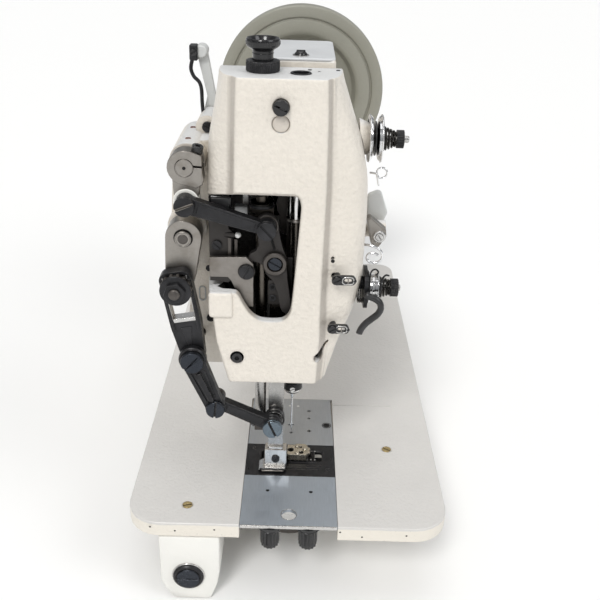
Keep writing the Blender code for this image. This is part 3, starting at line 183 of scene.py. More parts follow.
def interior(g):
    """1 inside the hollow of the head, 0 on its outer skin."""
    x, y, z = g.xyz()[:]
    zn = g.ramp(z, 0.100, 0.350)
    hl = g.curve(zn, [((a - 100) / 250.0, b / 100.0) for a, b in ((100, 52), (118, 55.5), (134, 59), (156, 63), (187, 66), (258, 65.5), (293, 64), (320, 58), (344, 53))])
    hr = g.curve(zn, [((a - 100) / 250.0, b / 100.0) for a, b in ((100, 23), (118, 29), (134, 34), (156, 43), (187, 49.5), (242, 50), (269, 49), (293, 43), (320, 33.5), (344, 25))])
    xm = g.math("MULTIPLY", x, 10.0)
    yn = g.ramp(y, -0.032, -0.008)
    sl = g.curve(yn, [((a + 32) / 24.0, b / 100.0) for a, b in ((-32, 12.5), (-29, 10.5), (-25, 7.0), (-20, 4.5), (-8, 0.0))])
    sr = g.curve(yn, [((a + 32) / 24.0, b / 100.0) for a, b in ((-32, 29.0), (-29, 22.5), (-25, 14.5), (-20, 7.5), (-8, 0.0))])
    left = g.math("GREATER_THAN", g.math("SUBTRACT", xm, sl), g.math("MULTIPLY", hl, -1.0))
    right = g.math("LESS_THAN", g.math("ADD", xm, sr), hr)
    ya = g.math("GREATER_THAN", y, -0.0325)
    yb = g.math("LESS_THAN", y, 0.0440)
    za = g.math("LESS_THAN", z, 0.3385)
    zb = g.math("GREATER_THAN", z, 0.1050)
    out = left
    for o in (right, ya, yb, za, zb):
        out = g.math("MULTIPLY", out, o)
    return out


def paint(name, rgb, rough=0.38, peel=0.35, shade_and_grime=0.35, grit=0.0, coat=0.15, inside=None, sides=None, soft=0.0009, painted_sky_sheen=0.0, painted_valley_shade=0.0, lump=0.00060, mottle=0.0):
    """Sprayed enamel over a casting: orange peel, slow tone drift, painted shade in the corners tinted brown like
    grime, thin edges.
    """
    m, nt, b = _nodes(name)
    g = G(nt)
    drift = g.noise(16.0, 3.0)
    tone = g.mix(g.ramp(drift, 0.3, 0.7), [c * 0.965 for c in rgb], [min(1.0, c * 1.02) for c in rgb])
    mott = g.noise(360.0, 3.0, 0.6)
    tone = g.mix(g.ramp(mott, 0.36, 0.64, mottle, 0.0), tone, [c * 0.80 for c in rgb])
    speck = g.ramp(g.noise(620.0, 2.0, 0.6), 0.70, 0.78)
    tone = g.mix(g.math("MULTIPLY", speck, 0.35), tone, [c * 0.72 for c in rgb])
    # painted shade: ambient occlusion darkens corners and creases toward a brown, broken up by noise like grime
    ao_shade = g.ao(0.010)
    corner_shade = g.ramp(ao_shade, 0.25, 0.85, shade_and_grime, 0.0)
    shade_grime_smear = g.math("MULTIPLY", corner_shade, g.ramp(g.noise(90.0, 4.0), 0.2, 0.7, 0.55, 1.0))
    tone = g.mix(shade_grime_smear, tone, [rgb[0] * 0.40, rgb[1] * 0.37, rgb[2] * 0.32])
    edge = g.math("MULTIPLY", g.edge(0.0011), g.ramp(g.noise(140.0, 3.0), 0.50, 0.62))
    tone = g.mix(g.math("MULTIPLY", edge, 0.30), tone, [rgb[0] * 0.72, rgb[1] * 0.70, rgb[2] * 0.66])
    if sides is not None:
        z = g.xyz()[2]
        wave = g.math("ADD", z, g.math("MULTIPLY", g.math("SUBTRACT", g.noise(26.0, 3.0), 0.5), 0.0022))
        tone = g.mix(g.ramp(wave, -0.0026, -0.0014, 1.0, 0.0), tone, g.mix(g.math("MULTIPLY", speck, 0.8), sides, [c * 0.45 for c in sides]))
    if inside is not None:
        dark = g.mix(g.ramp(g.noise(70.0, 4.0), 0.35, 0.7), inside, [c * 2.2 for c in inside])
        tone = g.mix(interior(g), tone, dark)
    nv = nt.nodes.new("ShaderNodeSeparateXYZ")
    g.link(nt.nodes.new("ShaderNodeNewGeometry").outputs["Normal"], nv.inputs[0])
    # painted reflection: upward-facing faces are mixed toward a cool grey, standing in for the sky seen in the enamel
    if painted_sky_sheen:
        tone = g.mix(g.ramp(nv.outputs["Z"], 0.70, 0.95, 0.0, painted_sky_sheen), tone, (0.735, 0.755, 0.775))
    if painted_valley_shade:
        # painted shade: steep sideways-facing faces in the depth band of the face-panel valleys are darkened
        ydepth = g.xyz()[1]
        valley_shade_band = g.math("MULTIPLY", g.ramp(ydepth, -0.0376, -0.0362), g.ramp(ydepth, -0.0308, -0.0292, 1.0, 0.0))
        side = g.ramp(g.math("ABSOLUTE", nv.outputs["X"]), 0.20, 0.75)
        tone = g.mix(g.math("MULTIPLY", g.math("MULTIPLY", valley_shade_band, side), painted_valley_shade), tone, [rgb[0] * 0.42, rgb[1] * 0.40, rgb[2] * 0.39])
    g.link(tone, b.inputs["Base Color"])
    r = g.ramp(g.noise(38.0, 4.0), 0.3, 0.7, rough - 0.06, rough + 0.10)
    g.link(r, b.inputs["Roughness"])
    b.inputs["Coat Weight"].default_value = coat
    b.inputs["Coat Roughness"].default_value = 0.22
    peelh = g.noise(820.0, 2.0, 0.5)
    lumps = g.noise(330.0, 2.0, 0.45)
    slow = g.noise(80.0, 2.0, 0.5)
    n1 = g.bump(peelh, peel, 0.00022, g.bevel(soft))
    n1 = g.bump(lumps, min(1.0, peel * 1.5), lump, n1)
    n2 = g.bump(slow, 0.25 + grit, 0.0014, n1)
    g.link(n2, b.inputs["Normal"])
    return m


def metal(name, rgb, rough=0.32, brush=(1, 1, 1), brush_amt=0.25, wear=0.25, oil=0.25, edge_rgb=None, metallic=1.0, bevel_r=0.0006, pit=0.12, painted_inside_shade=0.0):
    """Machined metal: lay marks, fingerprints, painted shade in the corners and brighter edges."""
    m, nt, b = _nodes(name)
    g = G(nt)
    b.inputs["Metallic"].default_value = metallic
    lay = g.noise(240.0, 4.0, 0.65, g.mapping(brush))
    blot = g.noise(55.0, 4.0, 0.6, dist=0.6)
    tone = g.mix(g.ramp(lay, 0.25, 0.75), [c * 0.88 for c in rgb], [min(1, c * 1.10) for c in rgb])
    tone = g.mix(g.ramp(blot, 0.45, 0.75, 0.0, oil), tone, [rgb[0] * 0.62, rgb[1] * 0.56, rgb[2] * 0.48])
    # painted shade: ambient occlusion darkens the corners
    ao_shade = g.ramp(g.ao(0.006), 0.3, 0.9, 0.55, 0.0)
    tone = g.mix(ao_shade, tone, [rgb[0] * 0.25, rgb[1] * 0.22, rgb[2] * 0.20])
    e = g.math("MULTIPLY", g.edge(0.0008), g.ramp(g.noise(180.0, 3.0), 0.35, 0.6))
    er = edge_rgb or [min(1, c * 1.35) for c in rgb]
    tone = g.mix(g.math("MULTIPLY", e, wear), tone, er)
    # painted shade: faces above the bottom of the head are darkened, standing in for the shade inside the head
    if painted_inside_shade:
        tone = g.mix(g.ramp(g.xyz()[2], 0.104, 0.118, 0.0, painted_inside_shade), tone, [rgb[0] * 0.16, rgb[1] * 0.13, rgb[2] * 0.10])
    g.link(tone, b.inputs["Base Color"])
    r = g.math("ADD", g.ramp(lay, 0.2, 0.8, rough - 0.07, rough + 0.07), g.ramp(blot, 0.4, 0.7, -0.03, 0.10))
    g.link(r, b.inputs["Roughness"])
    n1 = g.bump(lay, brush_amt, 0.00008, g.bevel(bevel_r))
    n2 = g.bump(g.noise(700.0, 2.0), pit, 0.0001, n1)
    g.link(n2, b.inputs["Normal"])
    return m


def blackened(name, rgb=(0.022, 0.022, 0.024), rough=0.33, wear=0.5, metallic=0.55, grain=0.25, coat=0.0):
    m, nt, b = _nodes(name)
    g = G(nt)
    b.inputs["Metallic"].default_value = metallic
    b.inputs["Coat Weight"].default_value = coat
    blot = g.noise(70.0, 4.0, 0.6)
    tone = g.mix(g.ramp(blot, 0.35, 0.7), [c * 0.75 for c in rgb], [c * 1.6 for c in rgb])
    e = g.math("MULTIPLY", g.edge(0.0007), g.ramp(g.noise(210.0, 3.0), 0.40, 0.58))
    tone = g.mix(g.math("MULTIPLY", e, wear), tone, (0.30, 0.29, 0.28))
    g.link(tone, b.inputs["Base Color"])
    g.link(g.ramp(g.noise(130.0, 4.0), 0.3, 0.7, rough - 0.08, rough + 0.12), b.inputs["Roughness"])
    n1 = g.bump(g.noise(520.0, 3.0), grain, 0.00012, g.bevel(0.0006))
    g.link(n1, b.inputs["Normal"])
    return m


M = {
    "cream": paint("enamel_cream", (0.800, 0.748, 0.672), 0.38, 0.48, 0.50, soft=0.0012, painted_sky_sheen=0.75, lump=0.0011, mottle=0.22, inside=(0.016, 0.014, 0.012)),
    "skin": paint("enamel_cover", (0.800, 0.748, 0.672), 0.36, 0.50, 0.50, soft=0.0016, painted_sky_sheen=0.75, painted_valley_shade=0.62, lump=0.0013, mottle=0.26),
    # a darker copy of the cream enamel: painted shade for the keyhole recess floor
    "floor": paint("enamel_recess_shade", (0.640, 0.585, 0.520), 0.42, 0.45, 0.50, soft=0.0006, mottle=0.3),
    # the lid's cool blue-grey is a painted sky reflection on its upward face
    "lid": paint("lid_grey_sky_sheen", (0.690, 0.705, 0.720), 0.34, 0.25, 0.40, soft=0.0012, mottle=0.1),
    "inner": paint("casting_inner", (0.020, 0.018, 0.016), 0.60, 0.6, 0.3, grit=0.4, coat=0.0),
    "bed": paint("enamel_bed", (0.655, 0.640, 0.618), 0.44, 0.60, 0.30, mottle=0.08, sides=(0.790, 0.745, 0.665)),
    "bracket": paint("enamel_bracket", (0.840, 0.830, 0.790), 0.45, 0.30, 0.30),
    "grey": paint("enamel_grey", (0.640, 0.650, 0.640), 0.42, 0.25, 0.35),
    "castgrey": paint("casting_grey", (0.480, 0.490, 0.490), 0.50, 0.45, 0.45, grit=0.25, coat=0.0),
    "wheel": paint("enamel_wheel", (0.290, 0.285, 0.240), 0.42, 0.25, 0.45, mottle=0.12),
    "steel": metal("steel_satin", (0.335, 0.315, 0.290), 0.36, (1, 14, 1), 0.35, 0.4, 0.45),
    "steel_cast": metal("steel_cast", (0.290, 0.270, 0.250), 0.46, (1, 1, 1), 0.6, 0.35, 0.45, pit=0.5),
    "bright": metal("steel_ground", (0.620, 0.615, 0.605), 0.24, (1, 1, 0.05), 0.25),
    "polished": metal("steel_polished", (0.740, 0.740, 0.735), 0.13, (1, 1, 6), 0.08, oil=0.12),
    "bar": metal("bar_ground", (0.420, 0.415, 0.405), 0.26, (1, 1, 6), 0.15, oil=0.2, painted_inside_shade=0.86),
    "chrome": metal("chrome_plate", (0.830, 0.835, 0.845), 0.06, (1, 1, 1), 0.03, 0.1, 0.06, pit=0.02),
    "plate": metal("plate_ground", (0.455, 0.500, 0.555), 0.46, (8, 0.25, 1), 0.16, 0.12, 0.06, metallic=0.80),
    "needleplate": metal("needle_plate_ground", (0.430, 0.450, 0.475), 0.36, (8, 0.25, 1), 0.22, 0.2, 0.08, metallic=0.82),
    "blue": metal("blued_steel", (0.045, 0.050, 0.060), 0.30, (1, 1, 1), 0.15, 0.6, 0.1, edge_rgb=(0.30, 0.32, 0.35)),
    "bluesteel": metal("blue_steel", (0.150, 0.185, 0.215), 0.28, (1, 1, 1), 0.15, 0.6, 0.1, edge_rgb=(0.50, 0.54, 0.58)),
    "foot": metal("foot_satin", (0.560, 0.520, 0.440), 0.26, (1, 4, 1), 0.25, 0.4, 0.35, pit=0.3),
    "iron": metal("iron_oiled", (0.115, 0.105, 0.098), 0.44, (1, 1, 1), 0.6, 0.5, 0.35, edge_rgb=(0.36, 0.34, 0.32), metallic=0.85, pit=0.5),
    "dark_iron": metal("iron_dark", (0.050, 0.046, 0.044), 0.45, (1, 1, 1), 0.5, 0.4, 0.2, edge_rgb=(0.24, 0.23, 0.22), metallic=0.7, pit=0.4),
    "brown": metal("iron_brown", (0.270, 0.240, 0.205), 0.42, (1, 1, 3), 0.5, 0.4, 0.5, pit=0.4),
    "brass": metal("brass_satin", (0.640, 0.500, 0.250), 0.26, (1, 8, 1), 0.25, 0.3, 0.3),
    "black": blackened("black_oxide"),
    "link": blackened("black_link", (0.020, 0.020, 0.022), 0.36, 0.75, 0.5, 0.35),
    "gloss": blackened("black_gloss", (0.012, 0.012, 0.013), 0.20, 0.30, 0.3, 0.12, 0.35),
    "plastic": blackened("black_plastic", (0.016, 0.016, 0.017), 0.38, 0.0, 0.0, 0.3, 0.1),
    "spring": blackened("spring_black", (0.030, 0.028, 0.026), 0.26, 0.8, 0.9, 0.15),
    "ivory": paint("ball_ivory", (0.80, 0.80, 0.78), 0.25, 0.05, 0.1),
    # near-black: painted shade, used for dark discs, slots, rings and sheets set where holes, grooves and gaps would be
    # in shade
    "hole": blackened("hole_shade_black", (0.004, 0.004, 0.004), 0.8, 0.0, 0.0, 0.1),
    "red": paint("oil_mark", (0.20, 0.06, 0.04), 0.5, 0.1, 0.2),
}

LOOK = {
    "bed_casting": "bed", "shaft_bracket_front": "bracket", "centre_plug": "black", "needle_plate": "needleplate", "feed_insert": "black",
    "arm_casting": "cream", "face_cover": "cream", "face_screw": "gloss", "top_cover": "cream", "guide_plate": "steel_cast",
    "pressure_spring": "spring", "rocker_stud": "blue", "tension_post_upper": "cream", "tension_disc_a": "chrome", "tension_disc_b": "chrome",
    "tension_spring_upper": "spring", "tension_plate_lower": "black", "tension_discs_lower": "chrome", "tension_spring_lower": "spring",
    "thread_guide_upper": "gloss", "thread_guide_lower": "gloss", "wire_guide": "chrome", "shuttle_race": "iron", "main_shaft": "steel",
    "handwheel": "wheel", "needle_crank": "iron", "needle_bar": "bar", "needle_clamp": "black", "needle": "polished",
    "needle_link": "iron", "presser_bar": "bar", "presser_foot": "iron", "walking_bar_guide": "dark_iron", "walking_bar": "bar",
    "walking_foot": "bright", "upper_rock_shaft": "steel", "upper_split_crank": "steel", "upper_link": "link", "bell_crank": "dark_iron",
    "lower_rock_shaft": "steel", "lower_rock_arm": "steel", "adjusting_nut": "black", "slotted_rocker": "link", "tapered_lever": "link",
    "foot_link": "link", "feed_rock_shaft": "steel", "feed_dog": "dark_iron", "shuttle_shaft": "steel", "shuttle_hook": "polished",
    "slide_plate": "plate", "plate_knob_left": "plastic", "plate_knob_right": "plastic", "pressure_knob": "gloss", "knob_lock_ring": "black",
    "tension_nut_upper": "black", "tension_nut_lower": "black", "finger_lever": "plastic", "release_crank": "steel", "release_shaft": "grey",
    "lift_lever": "grey",
}
SUBDIV = {"pressure_spring", "tension_spring_upper", "tension_spring_lower", "finger_lever", "wire_guide"}
for n, ob in NODES.items():
    ob.data.materials.clear()
    ob.data.materials.append(M[LOOK[n]])
    w = ob.modifiers.new("weld", "WELD")
    w.merge_threshold = 2e-6
    ob.data.shade_smooth()
    if n in SUBDIV:
        s = ob.modifiers.new("round", "SUBSURF")
        s.levels = s.render_levels = 1
    else:
        es = ob.modifiers.new("creases", "EDGE_SPLIT")
        es.use_edge_angle = True
        es.split_angle = math.radians(28)

# ------------------------------------------------------------------ geometry helpers (millimetres in, metres out)
def _put(name, me, mat, body, bev=0.0, seg=2, angle=32):
    ob = bpy.data.objects.new(name, me)
    bpy.context.scene.collection.objects.link(ob)
    me.materials.clear()
    me.materials.append(M[mat])
    me.shade_smooth()
    me.set_sharp_from_angle(angle=math.radians(angle))
    if bev:
        b = ob.modifiers.new("edge", "BEVEL")
        b.width = bev * MM
        b.segments = seg
        b.limit_method = "ANGLE"
        b.angle_limit = math.radians(angle)
        b.use_clamp_overlap = True
        b.harden_normals = True
    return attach(ob, body)


def _mesh(name, bm, matrix=None):
    if matrix is not None:
        bmesh.ops.transform(bm, matrix=matrix, verts=bm.verts)
    bmesh.ops.transform(bm, matrix=Matrix.Translation(BASE) @ Matrix.Scale(MM, 4), verts=bm.verts)
    bmesh.ops.recalc_face_normals(bm, faces=bm.faces)
    me = bpy.data.meshes.new(name)
    bm.to_mesh(me)
    bm.free()
    return me


def aim(at, d, roll=0.0):
    """Matrix that takes local +Z to direction d at point at; local +X stays as level as it can, turned by roll degrees."""
    z = Vector(d).normalized()
    ref = Vector((1, 0, 0)) if abs(z.x) < 0.9 else Vector((0, 1, 0))
    x = (ref - z * ref.dot(z)).normalized()
    y = z.cross(x)
    m = Matrix((x, y, z)).transposed().to_4x4()
    return Matrix.Translation(Vector(at)) @ m @ Matrix.Rotation(math.radians(roll), 4, "Z")


def circ(cx, cy, r, n=32, a0=0.0, a1=360.0):
    if abs(a1 - a0) >= 360.0:
        return [(cx + r * math.cos(2 * math.pi * i / n), cy + r * math.sin(2 * math.pi * i / n)) for i in range(n)]
    return [(cx + r * math.cos(math.radians(a0 + (a1 - a0) * i / n)), cy + r * math.sin(math.radians(a0 + (a1 - a0) * i / n))) for i in range(n + 1)]


def rrect(x0, x1, y0, y1, r, n=6):
    pts = []
    for cx, cy, a in ((x0 + r, y0 + r, 180), (x1 - r, y0 + r, 270), (x1 - r, y1 - r, 0), (x0 + r, y1 - r, 90)):
        pts += circ(cx, cy, r, n, a, a + 90)
    return pts


def hull(points):
    pts = sorted(set((round(p[0], 5), round(p[1], 5)) for p in points))
    def half(seq):
        out = []
        for p in seq:
            while len(out) > 1 and ((out[-1][0] - out[-2][0]) * (p[1] - out[-2][1]) - (out[-1][1] - out[-2][1]) * (p[0] - out[-2][0])) <= 1e-9:
                out.pop()
            out.append(p)
        return out
    lo, hi = half(pts), half(reversed(pts))
    return lo[:-1] + hi[:-1]


def belt(*discs, n=32):
    pts = []
    for d in discs:
        pts += circ(d[0], d[1], d[2], n)
    return hull(pts)


PL = {"XZ": Matrix(((1, 0, 0, 0), (0, 0, -1, 0), (0, 1, 0, 0), (0, 0, 0, 1))), "XY": Matrix.Identity(4),
      "YZ": Matrix(((0, 0, 1, 0), (1, 0, 0, 0), (0, 1, 0, 0), (0, 0, 0, 1)))}


def _flatmesh(name, outer, holes, half, matrix):
    cu = bpy.data.curves.new(name, "CURVE")
    cu.dimensions = "2D"
    cu.fill_mode = "BOTH"
    cu.extrude = half * MM
    for loop in [outer] + list(holes):
        sp = cu.splines.new("POLY")
        sp.points.add(len(loop) - 1)
        for i, p in enumerate(loop):
            sp.points[i].co = (p[0] * MM, p[1] * MM, 0, 1)
        sp.use_cyclic_u = True
    t = bpy.data.objects.new(name + "_t", cu)
    bpy.context.scene.collection.objects.link(t)
    dg = bpy.context.evaluated_depsgraph_get()
    me = bpy.data.meshes.new_from_object(t.evaluated_get(dg))
    bpy.data.objects.remove(t)
    bpy.data.curves.remove(cu)
    bm = bmesh.new()
    bm.from_mesh(me)
    bmesh.ops.remove_doubles(bm, verts=bm.verts, dist=1e-6)
    m = Matrix.Translation(matrix.to_translation() * MM + BASE) @ matrix.to_3x3().to_4x4()
    bmesh.ops.transform(bm, matrix=m, verts=bm.verts)
    bmesh.ops.recalc_face_normals(bm, faces=bm.faces)
    bmesh.ops.dissolve_limit(bm, angle_limit=0.01, verts=bm.verts, edges=bm.edges)
    bm.to_mesh(me)
    bm.free()
    me.name = name
    return me


def plate(name, outer, plane, lo, hi, mat, body, holes=(), bev=0.4, seg=2):
    off = {"XZ": (0, (lo + hi) / 2, 0), "XY": (0, 0, (lo + hi) / 2), "YZ": ((lo + hi) / 2, 0, 0)}[plane]
    return _put(name, _flatmesh(name, outer, holes, (hi - lo) / 2, Matrix.Translation(Vector(off)) @ PL[plane]), mat, body, bev, seg)


def disc_plate(name, outer, at, d, t, mat, body, holes=(), bev=0.3, roll=0.0):
    """Flat outline of thickness t standing on point at, facing direction d."""
    m = aim(Vector(at) + Vector(d).normalized() * t / 2, d, roll)
    return _put(name, _flatmesh(name, outer, holes, t / 2, m), mat, body, bev)


def turn(name, prof, at, d, mat, body, steps=40, bev=0.0, angle=32, close=True):
    """Profile of (radius, height) pairs turned round direction d from point at."""
    bm = bmesh.new()
    rings = []
    for r, h in prof:
        if r < 1e-6:
            rings.append([bm.verts.new((0, 0, h))])
        else:
            rings.append([bm.verts.new((r * math.cos(2 * math.pi * i / steps), r * math.sin(2 * math.pi * i / steps), h)) for i in range(steps)])
    pairs = list(zip(rings, rings[1:]))
    if close and len(rings[0]) > 1 and len(rings[-1]) > 1:
        pairs.append((rings[-1], rings[0]))
    for a, b in pairs:
        for i in range(steps):
            j = (i + 1) % steps
            if len(a) == 1 and len(b) == 1:
                continue
            if len(a) == 1:
                bm.faces.new((a[0], b[i], b[j]))
            elif len(b) == 1:
                bm.faces.new((a[i], a[j], b[0]))
            else:
                bm.faces.new((a[i], a[j], b[j], b[i]))
    return _put(name, _mesh(name, bm, aim(at, d)), mat, body, bev, 2, angle)


def tube(name, pts, r, mat, body, n=10, caps=True, closed=False, smooth_path=0):
    """Round wire through points, corners rounded by resampling a Catmull-Rom path."""
    P = [Vector(p) for p in pts]
    if smooth_path:
        Q = []
        m = len(P)
        last = m if closed else m - 1
        for i in range(last):
            if closed:
                p0, p1, p2, p3 = P[(i - 1) % m], P[i], P[(i + 1) % m], P[(i + 2) % m]
            else:
                p0, p1, p2, p3 = P[max(0, i - 1)], P[i], P[i + 1], P[min(m - 1, i + 2)]
            for k in range(smooth_path):
                t = k / smooth_path
                Q.append(0.5 * ((2 * p1) + (p2 - p0) * t + (2 * p0 - 5 * p1 + 4 * p2 - p3) * t * t + (3 * p1 - p0 - 3 * p2 + p3) * t ** 3))
        if not closed:
            Q.append(P[-1])
        P = Q
    bm = bmesh.new()
    rings, ref = [], None
    m = len(P)
    for i in range(m):
        a = P[(i - 1) % m] if (closed or i) else P[0]
        b = P[(i + 1) % m] if (closed or i < m - 1) else P[-1]
        t = (b - a).normalized()
        if ref is None:
            ref = Vector((0, 0, 1)) if abs(t.z) < 0.9 else Vector((1, 0, 0))
        u = (ref - t * ref.dot(t)).normalized()
        ref = u
        v = t.cross(u)
        rings.append([bm.verts.new(P[i] + (u * math.cos(2 * math.pi * k / n) + v * math.sin(2 * math.pi * k / n)) * r) for k in range(n)])
    last = m if closed else m - 1
    for i in range(last):
        a, b = rings[i], rings[(i + 1) % m]
        for k in range(n):
            bm.faces.new((a[k], a[(k + 1) % n], b[(k + 1) % n], b[k]))
    if caps and not closed:
        bm.faces.new(rings[0])
        bm.faces.new(rings[-1])
    return _put(name, _mesh(name, bm), mat, body, 0, 2, 50)


def coil(name, at, d, r0, r1, length, turns, wr, mat, body, per=20, dead=0.8):
    m = aim(at, d)
    pts, n = [], int(turns * per)
    for i in range(n + 1):
        t = i / n
        a = 2 * math.pi * turns * t
        s = min(1.0, max(0.0, (t * turns - dead) / (turns - 2 * dead)))
        pts.append(m @ Vector(((r0 + (r1 - r0) * t) * math.cos(a), (r0 + (r1 - r0) * t) * math.sin(a), wr + (length - 2 * wr) * s)))
    return tube(name, pts, wr, mat, body, n=8)


def slotted(name, at, d, r, t, mat, body, roll=20.0, w=None, depth=None, dome=0.0, bev=0.3):
    """Slotted screw head of radius r and height t standing on point at and facing d."""
    w = w or r * 0.22
    depth = depth or t * 0.5
    bm = bmesh.new()
    n = 36
    def disc(pts, z0, z1):
        a = [bm.verts.new((x, y, z0)) for x, y in pts]
        b = [bm.verts.new((x, y, z1)) for x, y in pts]
        k = len(pts)
        bm.faces.new(a)
        bm.faces.new(b)
        for i in range(k):
            bm.faces.new((a[i], a[(i + 1) % k], b[(i + 1) % k], b[i]))
    disc(circ(0, 0, r, n), 0.0, t - depth)
    g = math.degrees(math.asin(w / 2 / r))
    disc(circ(0, 0, r, 18, g, 180 - g), t - depth - 0.02, t)
    disc(circ(0, 0, r, 18, 180 + g, 360 - g), t - depth - 0.02, t)
    return _put(name, _mesh(name, bm, aim(at, d, roll)), mat, body, bev)


def socket(name, at, d, r, t, mat, body, hexr=None, bev=0.3, knurl=False):
    """Socket head cap screw: hexagon recess with a near-black floor disc as painted shade."""
    hexr = hexr or r * 0.52
    out = [(rr * math.cos(2 * math.pi * i / 48), rr * math.sin(2 * math.pi * i / 48)) for i, rr in ((i, r if (i % 2 == 0 or not knurl) else r * 0.955) for i in range(48))]
    disc_plate(name, out, at, d, t, mat, body, holes=(circ(0, 0, hexr, 6),), bev=bev)
    turn(name + "_floor", [(0, 0.0), (hexr * 1.08, 0.0), (hexr * 1.08, t * 0.45), (0, t * 0.45)], at, d, "hole", body, 12)


def ring(name, at, d, r, wr, mat, body, n=48, k=10):
    m = aim(at, d)
    tube(name, [m @ Vector((r * math.cos(2 * math.pi * i / n), r * math.sin(2 * math.pi * i / n), 0)) for i in range(n)], wr, mat, body, n=k, closed=True)


def washer(name, at, d, r_out, r_in, t, mat, body, bev=0.15):
    disc_plate(name, circ(0, 0, r_out, 48), at, d, t, mat, body, holes=(circ(0, 0, r_in, 40),), bev=bev)


def rbox(name, x0, x1, y0, y1, z0, z1, mat, body, bev=0.6, seg=3):
    bm = bmesh.new()
    bmesh.ops.create_cube(bm, size=1.0)
    for v in bm.verts:
        v.co = Vector(((x0 + x1) / 2 + v.co.x * (x1 - x0), (y0 + y1) / 2 + v.co.y * (y1 - y0), (z0 + z1) / 2 + v.co.z * (z1 - z0)))
    return _put(name, _mesh(name, bm), mat, body, bev, seg)


def knurled(name, at, d, r, t, mat, body, teeth=36, deep=0.07, bore=0.0, bev=0.25):
    pts = []
    for i in range(teeth):
        for f, q in ((0.0, 1.0), (0.30, 1.0), (0.5, 1.0 - deep), (0.80, 1.0 - deep)):
            a = 2 * math.pi * (i + f) / teeth
            pts.append((r * q * math.cos(a), r * q * math.sin(a)))
    disc_plate(name, pts, at, d, t, mat, body, holes=(circ(0, 0, bore, 36),) if bore else (), bev=bev)


F, B, UP, RT = (0, -1, 0), (0, 1, 0), (0, 0, 1), (1, 0, 0)
UPPER_ROCK, CRANK_PIN, LINK_PIN, BELL_AXIS = (-83.0, 276.0), (-82.5, 250.3), (-22.2, 232.7), (-15.9, 202.5)
LOWER_ROCK, ADJ_PIN, ROCKER_AXIS = (-86.2, 219.6), (-91.3, 182.6), (-80.2, 121.7)
LEVER_PIN, FOOT_PIN, WALK_AXIS = (-62.7, 76.8), (-15.8, 54.6), (-13.5, 182.0)


def xz(p, y):
    return (p[0], y, p[1])


# ---- face cover at full resolution ------------------------------------------
def lerp_table(z, table):
    t = sorted(table)
    if z <= t[0][0]:
        return t[0][1]
    for (a, va), (b, vb) in zip(t, t[1:]):
        if z <= b:
            return va + (vb - va) * (z - a) / (b - a)
    return t[-1][1]


def smooth_table(z, table, w=7.0):
    return sum(lerp_table(z + w * k, table) * c for k, c in ((-1, 0.2), (-0.5, 0.2), (0, 0.2), (0.5, 0.2), (1, 0.2)))


C_XL = [(344, -58.2), (320, -62.2), (293, -67.4), (258, -69.2), (187, -69.6), (170, -68.0), (156, -66.5), (134, -62.5), (118, -59.0), (102, -55.5)]
C_XR = [(344, 29.2), (320, 37.5), (293, 47.0), (269, 52.4), (242, 53.6), (187, 53.0), (170, 50.0), (156, 46.5), (134, 37.5), (118, 33.0), (102, 27.0)]
C_PL = [(344, -43.4), (313, -44.4), (262, -45.4), (187, -60.0), (102, -47.0)]
C_FL = [(344, -48.4), (313, -49.2), (262, -50.4), (187, -66.0), (138, -61.2), (102, -51.8)]
C_PR = [(344, 18.0), (316, 19.2), (266, 20.0), (178, 19.0), (142, 19.4), (102, 17.8)]
C_FR = [(344, 22.2), (316, 23.2), (266, 24.6), (178, 24.3), (140, 25.0), (102, 22.4)]


